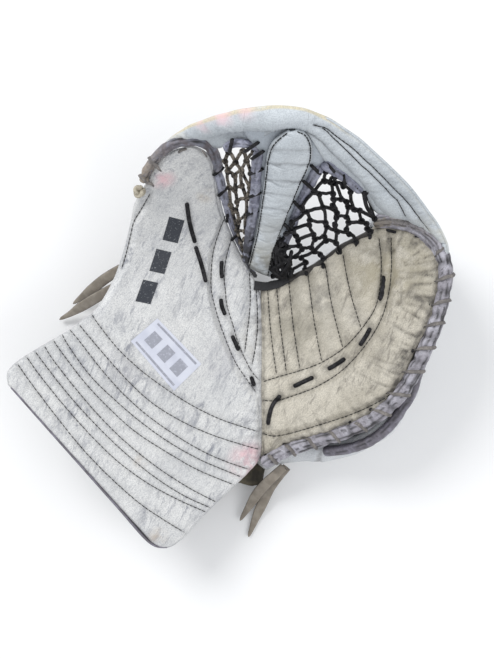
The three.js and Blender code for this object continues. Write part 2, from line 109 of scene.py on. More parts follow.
# ---------- outlines, in millimetres ----------
# Many of these points were picked on the photograph and turned into millimetres by a helper program, and the
# cuff's seams were found in it by a program. They are not worked out from the driving dimensions.
PALM_RIM = [
    (0, -74), (11, -66.5), (25, -59.5), (42, -53.5), (57, -48), (73, -42), (86, -35.5), (98, -28),
    (108.5, -18.5), (118, -8), (125, 3), (132, 16.5), (138, 31), (143, 43), (147, 56), (150.5, 70),
    (153, 84), (154, 96), (153, 106), (149.5, 115.5), (144, 123), (137, 130), (128, 136), (119, 139.5),
    (110, 141.5), (99, 142.5)]
PALM_LIP = [
    (0, -65), (12, -60.5), (21, -54), (38, -48), (60, -41.5), (74.5, -34), (85, -29), (98, -19), (108, -8.5),
    (114, 0.5), (122, 15), (128, 30.5), (134.5, 43.5), (140, 54.5), (144.5, 69), (147, 81.5), (148.5, 94),
    (148, 105), (145.5, 113.5), (137.5, 124), (126, 132.5), (114, 135.5), (101, 137)]
PALM_NET_EDGE = [(93, 132), (84, 127.5), (70, 120.5), (56, 110), (41, 101), (25, 93.5), (4, 88)]
PALM_BREAK = [(1.2, -63), (1.2, 9), (1.2, 85)]
SHELL_TOP = [
    (1, -77), (13, -70), (28, -64), (42, -61), (55, -62), (74, -59), (91, -53), (104, -44), (114, -33),
    (122, -20), (128.5, -9), (135, 14), (141, 29), (146, 42), (150, 55), (153.5, 69), (156, 83), (157, 96),
    (156, 107), (152.5, 117), (147, 125.5), (139.5, 132.5), (130, 139), (120, 142.5), (110, 144.5),
    (99, 145.5)]
BOARD_LEFT = [
    (-212, 3), (-212.5, 11), (-207.5, 18), (-188, 31.5), (-176, 39), (-164, 46.5), (-153, 55.5),
    (-146.5, 60), (-140.5, 67), (-133, 79.5), (-125.5, 95.5), (-120, 111), (-116, 123), (-112.5, 134),
    (-109.5, 144), (-107, 153), (-102, 161), (-96, 169), (-91, 177), (-85, 184.5), (-77.5, 190),
    (-69, 193.5)]
BOARD_RIGHT = [
    (-96, -137.5), (-88.5, -142.5), (-80.5, -141.5), (-71.5, -135), (-56.5, -119.5), (-43.5, -107),
    (-30, -94.5), (-15.5, -81), (-4, -67), (-2.2, -50), (-2.2, 0), (-2.2, 66), (-6, 86), (-14.5, 102),
    (-22, 116), (-29.5, 132), (-35.5, 147), (-38.5, 158), (-40, 168), (-41, 178), (-45, 189.5), (-54, 195),
    (-61, 195.5)]
THUMB_RIM = [
    (-99.5, 170.5), (-96, 178), (-91, 184.5), (-84, 191.5), (-77, 196), (-69, 199), (-61, 200), (-53, 200.5),
    (-46, 198.5), (-41.5, 194.5), (-39, 190), (-37.5, 185), (-38, 180)]
THUMB_NET_EDGE = [
    (-38, 180), (-36, 174), (-34, 165), (-31, 156), (-29, 148), (-26.5, 140), (-21.5, 127.5), (-15.5, 115),
    (-10.5, 103.5), (-5, 95)]

# The rim, as stations from its thumb end to its finger end: inner edge, then outer edge.
RIM = [
    (-87, 188, 140, -90, 190, 140), (-82, 193.5, 147, -84, 197, 147), (-76, 198.5, 152, -76, 203.5, 155),
    (-68, 200.5, 154.5, -67, 207.5, 165), (-60, 201.5, 154.5, -58.5, 210.5, 175),
    (-52, 201, 153, -50, 211.5, 185), (-43, 197, 152, -40, 213, 196), (-34.5, 194.5, 164, -29, 214, 205),
    (-25, 197.5, 178, -21, 215, 211), (-14, 197, 184.5, -12, 215.5, 215.5), (-5, 196, 188, -4, 216, 218),
    (6, 200, 201.5, 7.5, 216.5, 219.5), (18, 201.5, 205.5, 19, 216, 219.5),
    (28, 200.5, 204, 30, 214.5, 218.5), (35, 196, 198, 40, 211.5, 215.5), (41.5, 189, 186.5, 50, 208, 212),
    (48.5, 182, 172.5, 61.5, 202, 206), (57, 177.5, 165, 73.5, 195.5, 199),
    (67, 172.5, 157, 86, 186.5, 191), (77, 166, 147, 97, 178.5, 183), (86.5, 156.5, 132, 108, 170.5, 173.5),
    (96, 147, 119, 117.5, 163, 165), (107, 145, 115, 126.5, 154.5, 156),
    (118, 143.5, 115, 136.5, 144, 146.5), (129, 139.5, 117, 143.5, 137, 139),
    (139, 132, 119, 150, 128, 132), (147, 123, 120.5, 154, 120, 127), (152, 113, 120, 156, 112, 123)]
# Where across the rim its folds and seams run, as (x of the outer edge, share of the width).
RIM_FOLD = [
    (-50, 0.2), (-40, 0.34), (-29, 0.4), (-21, 0.26), (-4, 0.28), (8, 0.02), (30, 0), (40, 0.16),
    (50, 0.28), (61, 0.31), (74, 0.25), (86, 0.18), (108, 0.12), (118, 0.14), (127, 0.02)]
RIM_SEAM_OUTER = [
    (36, 0.58), (42, 0.62), (50, 0.72), (61, 0.74), (86, 0.71), (97, 0.69), (108, 0.72), (118, 0.74),
    (127, 0.7), (137, 0.62), (144, 0.45), (150, 0.29), (154, 0.1)]
RIM_SEAM_INNER = [
    (44, 0.64), (50, 0.66), (61, 0.65), (74, 0.58), (86, 0.55), (97, 0.54), (108, 0.58), (118, 0.61),
    (127, 0.46), (137, 0.21), (142, 0.08)]
RIM_SPLIT = (-14, 33)

TEE_LEFT = [
    (-11, 103, 68), (-12, 116, 81), (-10.5, 126, 92), (-8.5, 137.5, 106), (-6.5, 149, 120),
    (-5.5, 159.5, 135), (-4.5, 170, 151), (-4.5, 179.5, 166), (-4, 187, 179), (-9, 193, 187),
    (-16, 200, 193), (-18, 205, 199)]
TEE_RIGHT = [
    (7, 95.5, 62), (11, 104, 69), (18, 126, 92), (23, 138, 106), (30, 156, 130), (39, 173, 157),
    (47, 180, 167), (47, 187, 180), (41, 197, 196), (38, 204, 206)]
SPINE_LEFT = [
    (-12, 106.5, 75), (-9, 117.5, 87), (-5.5, 131, 102), (-3, 145, 119), (-1.5, 156, 134), (0, 166, 150),
    (1, 176, 166), (1.5, 182, 176), (3, 188, 186), (6, 193, 195), (11.5, 197, 202), (18, 200.5, 207)]
SPINE_RIGHT = [
    (6, 97, 68), (8.5, 111.5, 81), (13, 126, 96), (20, 143, 117), (25.5, 156, 135), (30.5, 168, 153),
    (37, 182, 176), (37.5, 189, 188), (35, 195, 199), (30, 199.5, 205.5), (24, 201, 208)]
TEE_ROLL_LEFT = [
    (-3, 190, 178), (-5, 185, 176), (-6, 179.5, 167), (-6, 170, 151.5), (-7, 159.5, 136), (-8, 149, 120.5),
    (-10, 137.5, 106.5), (-12, 126, 92.5), (-13.5, 116, 81), (-14, 108, 71)]
TEE_ROLL_RIGHT = [
    (44.5, 179, 167), (41, 173, 158), (32, 156, 131), (25.5, 138, 107), (20.5, 126, 93), (13.5, 104, 70),
    (11, 99, 65)]
TOP_ROLL = [
    (-31, 190, 178), (-27, 193, 183), (-22, 194, 185), (-15, 193.5, 185), (-7, 192, 182), (-3, 189.5, 178)]
WING_ROLL = [
    (46.5, 181.5, 170), (50.5, 179, 167), (55.5, 176.5, 163), (64, 172.5, 156), (72, 168, 149),
    (80.5, 161.5, 140)]

PALM_QUILT = [
    [(5, 86), (8, 46), (13, 8)], [(13, 88), (17, 48), (22, 9)], [(24, 92), (28, 52), (34, 12)],
    [(41, 97), (46, 58), (53, 19)], [(56, 105), (62, 68), (71, 32)], [(71, 114), (77, 82), (86, 50)]]
PALM_INNER = [(101, 128), (103, 106), (99, 70), (89, 52), (73, 33), (53, 19), (33, 11), (13, 5), (1, 1)]
PALM_OUTER = [
    (111, 128), (111, 99), (107, 70), (99, 49), (85, 28), (69, 11), (48, -3), (26, -12), (13, -16), (1, -16)]
PALM_HEEL = [(117, 1), (111, -7), (95, -18), (79, -26), (53, -36), (26, -45), (11, -48), (1, -46)]
PALM_SEAMS = PALM_QUILT + [PALM_INNER, PALM_OUTER, PALM_HEEL]
PALM_LACES = [
    [(105, 95), (104, 84), (102, 73)], [(94, 50), (90, 42), (85, 34)], [(73, 23), (66, 18), (58, 13)],
    [(46, 6), (37, 1.5), (28, -3)], [(17, -10.5), (10, -19.5), (6.5, -29.5), (5.5, -38)]]
CUFF_SEAMS = [
    [(-147, 61), (-144, 56), (-126, 32), (-108, 14), (-88, -2), (-63, -19), (-38, -32), (-16, -40),
     (-3, -44)],
    [(-157, 52), (-154, 48), (-134, 23), (-116, 2), (-96, -17), (-70, -34), (-45, -46), (-23, -54),
     (-3, -60)],
    [(-165, 48), (-160, 42), (-141, 16), (-122, -7), (-101, -27), (-76, -46), (-52, -61), (-31, -71),
     (-12, -78)],
    [(-171, 44), (-167, 36), (-148, 8), (-127, -14), (-105, -34), (-80, -53), (-55, -68), (-34, -78),
     (-18, -85)],
    [(-178, 39), (-173, 31), (-153, 3), (-132, -21), (-110, -42), (-83, -61), (-59, -76), (-38, -86),
     (-24, -92)],
    [(-185, 34), (-180, 25), (-159, -4), (-138, -30), (-116, -53), (-90, -75), (-66, -92), (-42, -106)],
    [(-192, 29), (-186, 20), (-164, -10), (-142, -36), (-119, -60), (-94, -82), (-70, -99), (-47, -111)],
    [(-199, 25), (-192, 14), (-170, -16), (-147, -44), (-124, -68), (-97, -89), (-72, -104), (-50, -115)],
    [(-206, 19), (-199, 8), (-177, -24), (-154, -55), (-131, -81), (-105, -106), (-81, -124), (-69, -132)]]
THUMB_SEAMS = [
    [(-32, 148), (-38, 134), (-43.5, 117), (-45.5, 97), (-45.5, 84), (-41, 64), (-33.5, 41.5), (-23.5, 18),
     (-13.5, 3), (-5, -9)],
    [(-27, 129), (-31.5, 114.5), (-34, 97), (-33, 84), (-31.5, 70), (-27, 55), (-20, 32.5), (-9, 10),
     (-2, 2)],
    [(-11.5, 99.5), (-10.5, 84), (-11, 66), (-15.5, 28)],
    [(-5, 84), (-4, 52), (-6, 32), (-9, 16)],
    [(-95, 162), (-103.5, 149.5), (-110, 140), (-113.5, 129), (-117, 117), (-122, 101.5)]]
THUMB_LACES = [
    [(-65, 157), (-63, 140), (-59, 124)],
    [(-59, 122), (-54, 106), (-50, 90)],
    [(-36, 110), (-36.5, 102), (-36, 94)],
    [(-37, 76), (-36, 69), (-33, 61)],
    [(-27, 43), (-24, 36), (-21, 29)],
    [(-10, 6), (-8.5, 2), (-7, -3)]]
# Where the lace over the palm's rolled edge comes up through the leather.
WHIP_HOLES = [
    (3, -65), (19, -54.5), (37.5, -47), (57, -41), (77, -33), (94, -21), (107, -6), (118.5, 11.5),
    (128, 30), (136, 50), (141.5, 69), (144, 88), (144.5, 109)]

HEEL_TAIL_UPPER = [
    (20, -77.5, 43), (12, -86, 37), (4, -95, 28), (-4, -106, 17), (-12, -120, 8), (-20, -133, 4)]
HEEL_TAIL_LOWER = [(23, -79, 33), (16, -88, 25), (8, -100, 17), (1, -116, 9), (-6, -133, 3), (-12, -149, 2)]
THUMB_TAIL_UPPER = [
    (-117, 107, 68), (-129, 101, 63), (-144, 93, 49), (-157, 85, 32), (-168, 79, 16), (-178, 73, 5.5)]
THUMB_TAIL_LOWER = [
    (-126, 89, 66), (-140, 82, 59), (-155, 75, 43), (-168, 69, 26), (-180, 63, 12), (-191, 58, 5.5)]

# Knots of the two nets, in plan, and which of them each length of cord joins.
NET_FINGER = {
    "w0": (50, 175), "w1": (57, 172), "w2": (66, 169.5), "w3": (75, 165.5), "w4": (82.5, 163),
    "t0": (49, 169), "t1": (54, 168.5), "t2": (58, 168), "t4": (65, 166), "t5": (72, 162), "t6": (84, 162),
    "a0": (41.5, 161), "a1": (45.5, 160), "a2": (57, 160.5), "a3": (58, 156.5), "a4": (58, 152),
    "a5": (64.5, 157), "a6": (69, 155), "a7": (71, 151.5), "a8": (76.5, 149.5), "a9": (81, 149),
    "b0": (95, 143.5), "b1": (50, 150.5), "b2": (36, 147), "b3": (62, 147), "b4": (62, 143.5),
    "b5": (70.5, 144), "b6": (84, 141.5), "b7": (88.5, 139.5), "b8": (73, 140), "c0": (39.5, 141),
    "c1": (39, 137.5), "c2": (53, 139.5), "c3": (54.5, 136.5), "c4": (61.5, 138), "c5": (64, 133),
    "c6": (72, 135), "c7": (74.5, 131.5), "c8": (90, 135.5), "d0": (25.5, 133), "d1": (28.5, 129),
    "d2": (30.5, 126), "d3": (43.5, 130.5), "d4": (45, 127), "d5": (53, 129), "d6": (55, 126),
    "d7": (64, 124), "e0": (31.5, 121.5), "e1": (34.5, 119), "e2": (42.5, 120), "e3": (45.5, 117),
    "e4": (51, 115), "f0": (21, 120.5), "f1": (29.5, 113), "f2": (34.5, 112), "f3": (38.5, 108.5),
    "f4": (54, 112), "g0": (38.5, 102.5), "g1": (23.5, 108), "g2": (18, 116), "g3": (26.5, 101.5),
    "p1": (38.5, 99.5), "p2": (54, 108.5), "p3": (67.5, 117), "p4": (81.5, 125.5), "p5": (93, 133.5),
    "p6": (25.5, 94), "r1": (32, 150), "r2": (24.5, 139), "r3": (20, 130.5), "r4": (16, 123),
    "h0": (15.5, 108), "h1": (19.5, 101.5), "h2": (12.5, 103), "h3": (10, 97), "h4": (17, 95.5)}
CORDS_FINGER = (
    "t0-w0 t1-w1 t4-w2 t5-w3 t6-w4 t0-a0 t0-t1 t1-t2 t1-a2 t2-a5 t4-t5 t4-t2 t5-a8 t6-b0 a0-a1 a1-a2 "
    "a2-a3 a3-a4 a3-a6 a5-a6 a6-a7 a7-b5 a7-a8 a8-a9 a9-b6 a9-b0 a1-b1 a4-b3 b1-b2 b1-b3 b1-c2 b3-b4 "
    "b4-b5 b5-b8 b8-b7 b6-b7 b8-c6 b4-c4 c4-c5 c6-c7 c5-c7 b2-c0 b2-r1 c0-c1 c0-c2 c2-c3 c1-d0 c1-d3 "
    "c3-c5 c3-d5 b7-c8 c8-p5 c7-p4 d0-d1 d0-r3 d1-d2 d2-d3 d3-d4 d4-d5 d5-d6 d6-d7 c5-d7 d7-p3 d2-e0 "
    "d4-e2 e0-e1 e1-e2 e2-e3 e3-d6 e3-f2 e3-e4 e4-f4 f4-p2 e0-f0 f0-r4 e1-f1 f1-f2 f2-f3 f3-g0 g0-p1 "
    "f3-g3 f1-g1 f0-g2 g1-g3 g3-p6 g2-h0 g1-h1 h0-h1 h0-h2 h1-h4 h2-h3 h3-h4 h4-p6 g2-g1 r1-a0 r2-b2 "
    "r2-d0")
NET_THUMB = {
    "a0": (-28.5, 193), "a1": (-17, 192), "a2": (-8, 189.5), "b0": (-31.5, 187), "b1": (-23, 184.5),
    "b2": (-14, 184), "c0": (-29.5, 179.5), "c1": (-24, 176), "c2": (-18, 178.5), "c3": (-10.5, 175.5),
    "d0": (-28.5, 168.5), "d1": (-24, 166), "d2": (-18, 168), "d3": (-11, 165.5), "e1": (-22, 157.5),
    "e2": (-14, 158.5), "f0": (-27.5, 155.5), "f1": (-23, 151), "g1": (-21, 142.5), "g2": (-14, 146.5),
    "h1": (-22, 135.5), "h2": (-15, 133.5), "i1": (-19, 126), "i2": (-15, 127.5), "j": (-16, 114.5)}
CORDS_THUMB = (
    "a0-b0 a0-b1 a1-b1 a1-b2 a2-b2 b0-c0 b1-c0 b1-c2 b2-c2 b2-c3 c0-c1 c0-d0 c1-c2 c1-d1 c2-d2 c2-d3 "
    "c3-d3 d0-d1 d0-f0 d1-d2 d1-e1 d2-e2 d3-e2 e1-e2 e1-f1 f0-f1 e2-g2 f1-g1 g1-g2 f0-h1 g1-h1 g2-h2 "
    "h1-h2 h1-i1 h2-i2 i1-i2 i1-j i2-j")


# ---------- curves and meshes ----------
def smooth(points, spacing=None, count=None):
    """Evenly spaced points on a centripetal spline through the given ones."""
    p = np.array(points, float)
    p = np.vstack([2 * p[0] - p[1], p, 2 * p[-1] - p[-2]])
    dense = []
    for i in range(len(p) - 3):
        p0, p1, p2, p3 = p[i:i + 4]
        t1 = np.linalg.norm(p1 - p0) ** 0.5
        t2 = t1 + np.linalg.norm(p2 - p1) ** 0.5
        t3 = t2 + np.linalg.norm(p3 - p2) ** 0.5
        t = np.linspace(t1, t2, 16, endpoint=False)[:, None]
        a1 = (t1 - t) / t1 * p0 + t / t1 * p1
        a2 = (t2 - t) / (t2 - t1) * p1 + (t - t1) / (t2 - t1) * p2
        a3 = (t3 - t) / (t3 - t2) * p2 + (t - t2) / (t3 - t2) * p3
        b1 = (t2 - t) / t2 * a1 + t / t2 * a2
        b2 = (t3 - t) / (t3 - t1) * a2 + (t - t1) / (t3 - t1) * a3
        dense.append((t2 - t) / (t2 - t1) * b1 + (t - t1) / (t2 - t1) * b2)
    dense = np.vstack(dense + [p[-2]])
    length = np.r_[0, np.cumsum(np.linalg.norm(np.diff(dense, axis=0), axis=1))]
    if count is None:
        count = max(3, int(round(length[-1] / spacing)) + 1)
    s = np.linspace(0, length[-1], count)
    return np.stack([np.interp(s, length, dense[:, k]) for k in range(dense.shape[1])], axis=1)


def along(path):
    """Unit tangents of a path."""
    t = np.gradient(path, axis=0)
    return t / np.maximum(np.linalg.norm(t, axis=1, keepdims=True), 1e-9)


def lift(points, height, above=0.0):
    """Points in plan, put on a surface."""
    p = np.array(points, float)
    return np.column_stack([p[:, 0], p[:, 1], height(p[:, 0], p[:, 1]) + above])


def run_length(path):
    """Distance along a path at each of its points."""
    return np.r_[0, np.cumsum(np.linalg.norm(np.diff(path, axis=0), axis=1))]


def to_right(points, distance):
    """A plan curve moved to its right."""
    path = smooth(points, spacing=3.0)
    t = along(path)
    return path + np.column_stack([t[:, 1], -t[:, 0]]) * distance


def bumps(points, size, seed=0.0):
    """Smooth noise, about -1 to 1, at each point, with features of this size in mm."""
    spots = [Vector((p[0] / size + seed, p[1] / size, p[2] / size)) for p in points]
    return np.array([noise.noise(spot) for spot in spots]) * 1.6


def hill(distance, width):
    return np.exp(-(distance / width) ** 2)


class Shape:
    """Vertices and faces gathered into one piece, with its dirt and painted shade, and its tint (near-black
    painted shade on some bindings), at each vertex.
    """

    def __init__(self):
        self.points = []
        self.faces = []
        self.grime_and_shade = []
        self.tint_and_shade = []
        self.size = 0

    def add(self, points, faces, grime_and_shade=0.0, tint_and_shade=0.0):
        points = np.asarray(points, float).reshape(-1, 3)
        self.points.append(points)
        self.faces += [[i + self.size for i in face] for face in faces]
        self.grime_and_shade.append(np.broadcast_to(np.asarray(grime_and_shade, float), (len(points),)).copy())
        self.tint_and_shade.append(np.broadcast_to(np.asarray(tint_and_shade, float), (len(points),)).copy())
        self.size += len(points)
        return self


def grid_faces(rows, columns, wrap=False, flip=False):
    faces = []
    for i in range(rows - 1):
        for j in range(columns if wrap else columns - 1):
            k = (j + 1) % columns
            face = [i * columns + j, i * columns + k, (i + 1) * columns + k, (i + 1) * columns + j]
            faces.append(face[::-1] if flip else face)
    return faces


def tube_faces(rows, columns):
    """Faces of a closed tube, with both its ends."""
    faces = grid_faces(rows, columns, wrap=True)
    return faces + [list(range(columns))[::-1], [(rows - 1) * columns + j for j in range(columns)]]


def circle(radius, sides):
    a = np.linspace(0, 2 * np.pi, sides, endpoint=False)
    return np.column_stack([np.cos(a), np.sin(a)]) * radius


def flat(width, thickness, sides=12, power=3.2):
    """A flat strip's section, with rounded edges."""
    a = np.linspace(0, 2 * np.pi, sides, endpoint=False)
    c, s = np.cos(a), np.sin(a)
    x = np.sign(c) * np.abs(c) ** (2 / power) * width / 2
    y = np.sign(s) * np.abs(s) ** (2 / power) * thickness / 2
    return np.column_stack([x, y])


def frames(path, up=None):
    """Across and up directions along a path, turned as little as possible, or held towards up."""
    t = along(path)
    if up is None:
        first = np.array([0.0, 0.0, 1.0]) if abs(t[0][2]) < 0.9 else np.array([1.0, 0.0, 0.0])
        ups = [first - t[0] * (first @ t[0])]
        for i in range(1, len(t)):
            u = ups[-1] - t[i] * (ups[-1] @ t[i])
            ups.append(u / np.linalg.norm(u))
        n = np.array(ups)
    else:
        n = np.broadcast_to(np.array(up, float), path.shape).copy()
    n -= t * (n * t).sum(1, keepdims=True)
    n /= np.maximum(np.linalg.norm(n, axis=1, keepdims=True), 1e-9)
    return np.cross(t, n), n


def sweep(path, section, up=None, ends=0.0):
    """A section carried along a path. ends rounds both ends off over that many mm."""
    path = np.asarray(path, float)
    section = np.asarray(section, float)
    if section.ndim == 2:
        section = np.repeat(section[None], len(path), axis=0)
    if ends:
        s = run_length(path)
        reach = np.minimum(s, s[-1] - s) / ends
        scale = np.sqrt(np.clip(1 - (1 - np.clip(reach, 0, 1)) ** 2, 0.02, 1))
        section = section * scale[:, None, None]
    across, n = frames(path, up)
    points = path[:, None] + across[:, None] * section[..., :1] + n[:, None] * section[..., 1:]
    return points.reshape(-1, 3), [face[::-1] for face in tube_faces(*section.shape[:2])]


def nearest(lines, x, y):
    """Distance in plan to the nearest of the lines, and how far along its line that is."""
    paths = [smooth(line, spacing=1.0) for line in lines]
    tree = kdtree.KDTree(sum(len(path) for path in paths))
    run = np.concatenate([np.arange(len(path)) for path in paths])
    for i, p in enumerate(np.vstack(paths)):
        tree.insert((p[0], p[1], 0), i)
    tree.balance()
    found = [tree.find((a, b, 0)) for a, b in zip(x.ravel(), y.ravel())]
    distance = np.array([f[2] for f in found]).reshape(x.shape)
    return distance, run[[f[1] for f in found]].reshape(x.shape)


SIM_SCALE = 10 * MM  # cloth is worked out ten times as large, because the solver barely moves small pieces
CLOTH_STRETCH = 5
CLOTH_SHEAR = 2
CLOTH_BEND = 0.05
SIM_FRAMES = 20


def blown(points, faces, held, pressure, slack, cap):
    """Points in mm blown up as cloth that is held where it is sewn down, and moved by no more than cap. slack
    is how much larger the cloth is than its place, which wrinkles it."""
    mesh = bpy.data.meshes.new("cloth")
    mesh.from_pydata((points * SIM_SCALE).tolist(), [], faces)
    obj = bpy.data.objects.new("cloth", mesh)
    bpy.context.scene.collection.objects.link(obj)
    obj.vertex_groups.new(name="sewn").add(np.flatnonzero(held).tolist(), 1.0, "REPLACE")
    cloth = obj.modifiers.new("Cloth", "CLOTH")
    cloth.point_cache.frame_start = 1
    cloth.point_cache.frame_end = SIM_FRAMES
    settings = cloth.settings
    settings.vertex_group_mass = "sewn"
    settings.use_pressure = True
    settings.uniform_pressure_force = pressure
    settings.shrink_min = -slack
    settings.tension_stiffness = CLOTH_STRETCH
    settings.compression_stiffness = CLOTH_STRETCH
    settings.shear_stiffness = CLOTH_SHEAR
    settings.bending_stiffness = CLOTH_BEND
    settings.effector_weights.gravity = 0
    for number in range(1, SIM_FRAMES + 1):
        bpy.context.scene.frame_set(number)
    result = obj.evaluated_get(bpy.context.evaluated_depsgraph_get()).to_mesh()
    moved = np.empty(len(result.vertices) * 3)
    result.vertices.foreach_get("co", moved)
    bpy.context.scene.frame_set(1)
    bpy.data.objects.remove(obj)
    shift = moved.reshape(-1, 3) / SIM_SCALE - points
    far = np.maximum(np.linalg.norm(shift, axis=1, keepdims=True), 1e-6)
    return points + shift * np.minimum(1, cap / far)


def puffed(points, held, pressure, slack=0.0, cap=5.0, step=1):
    """A grid of points (rows x columns x 3) blown up as cloth, worked out at every step-th point."""
    coarse, coarse_held = points[::step, ::step], held[::step, ::step]
    rows, columns = coarse_held.shape
    faces = grid_faces(rows, columns)
    result = blown(coarse.reshape(-1, 3), faces, coarse_held.ravel(), pressure, slack, cap)
    shift = result.reshape(rows, columns, 3) - coarse
    for axis in (0, 1):
        at = np.arange(points.shape[axis]) / step
        low = np.minimum(at.astype(int), shift.shape[axis] - 2)
        part = np.clip(at - low, 0, 1).reshape((-1, 1, 1) if axis == 0 else (1, -1, 1))
        shift = np.take(shift, low, axis) * (1 - part) + np.take(shift, low + 1, axis) * part
    return points + shift


def top_of(points, faces, otherwise):
    """The height of a sheet's top anywhere in plan."""
    tree = BVHTree.FromPolygons(points.tolist(), faces)

    def height(x, y):
        x, y = np.broadcast_arrays(np.asarray(x, float), np.asarray(y, float))
        z = np.array(otherwise(x, y), float)
        for spot in np.ndindex(x.shape):
            hit = tree.ray_cast(Vector((x[spot], y[spot], 500)), Vector((0, 0, -1)))[0]
            if hit is not None:
                z[spot] = hit.z
        return z
    return height


def border_of(shape, width=1):
    """Marks the outermost points of a grid."""
    pinned = np.zeros(shape, bool)
    pinned[:width] = pinned[-width:] = True
    pinned[:, :width] = pinned[:, -width:] = True
    return pinned


def skin(left, right, rows, columns, surface, edge, slack=0.0, pressure=0.0):
    """A sheet between two plan curves. surface(x, y) gives its height, its dirt and painted shade, and where
    it is sewn down, and edge its turned rim, as [(outward, down)]."""
    rows, columns = int(rows * FINE), int(columns * FINE)
    a, b = smooth(left, count=rows), smooth(right, count=rows)
    v = np.linspace(0, 1, columns)[None, :, None]
    plan = a[:, None] * (1 - v) + b[:, None] * v
    x, y = plan[..., 0], plan[..., 1]
    z, grime_and_shade, sewn = surface(x, y)
    points = np.dstack([x, y, z])
    index = np.arange(rows * columns).reshape(rows, columns)
    loop = np.r_[index[:, 0], index[-1, 1:], index[-2::-1, -1], index[0, -2:0:-1]]
    border = points.reshape(-1, 3)[loop]
    area = (border[:, 0] * np.roll(border[:, 1], -1) - np.roll(border[:, 0], -1) * border[:, 1]).sum()
    faces = grid_faces(rows, columns, flip=area > 0)
    if pressure:
        upward = pressure if area < 0 else -pressure
        points = puffed(points, sewn | border_of(sewn.shape, 2), upward, slack, cap=2.5, step=2)
    t = np.roll(border, -2, axis=0) - np.roll(border, 2, axis=0)
    normal = np.column_stack([t[:, 1], -t[:, 0]]) * np.sign(area)
    for _ in range(4):
        normal = normal + np.roll(normal, 1, axis=0) + np.roll(normal, -1, axis=0)
    normal /= np.maximum(np.linalg.norm(normal, axis=1, keepdims=True), 1e-9)
    all_points, all_dirt_and_shade, rings = [points.reshape(-1, 3)], [grime_and_shade.ravel()], [loop]
    for k, (outward, down) in enumerate(edge):
        ring = border.copy()
        ring[:, :2] += normal * outward
        ring[:, 2] -= down
        all_points.append(ring)
        all_dirt_and_shade.append(grime_and_shade.ravel()[loop] * 0.5 + 0.1)
        rings.append(rows * columns + k * len(loop) + np.arange(len(loop)))
    for first, second in zip(rings, rings[1:]):
        for i in range(len(loop)):
            j = (i + 1) % len(loop)
            face = [int(first[i]), int(second[i]), int(second[j]), int(first[j])]
            faces.append(face if area > 0 else face[::-1])
    return np.vstack(all_points), faces, np.concatenate(all_dirt_and_shade)


def piece(name, shape, body, material, replaces=(), blend=None):
    """One Blender object from gathered millimetre geometry, riding on its body, or left unattached where
    blend is given.
    """
    mesh = bpy.data.meshes.new(name)
    mesh.from_pydata((np.vstack(shape.points) * MM).tolist(), [], shape.faces)
    for label, values in (("grime_and_shade", shape.grime_and_shade), ("tint_and_shade", shape.tint_and_shade)):
        layer = mesh.attributes.new(label, "FLOAT", "POINT")
        layer.data.foreach_set("value", np.concatenate(values).astype(np.float32))
    mesh.validate()
    mesh.polygons.foreach_set("use_smooth", [True] * len(mesh.polygons))
    mesh.materials.append(material)
    obj = bpy.data.objects.new(name, mesh)
    bpy.context.scene.collection.objects.link(obj)
    if blend:
        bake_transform(obj)
    else:
        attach(obj, body)
    if replaces:
        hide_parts(*replaces)
    return obj


# ---------- materials ----------
LEATHER_ROUGHNESS = 0.55


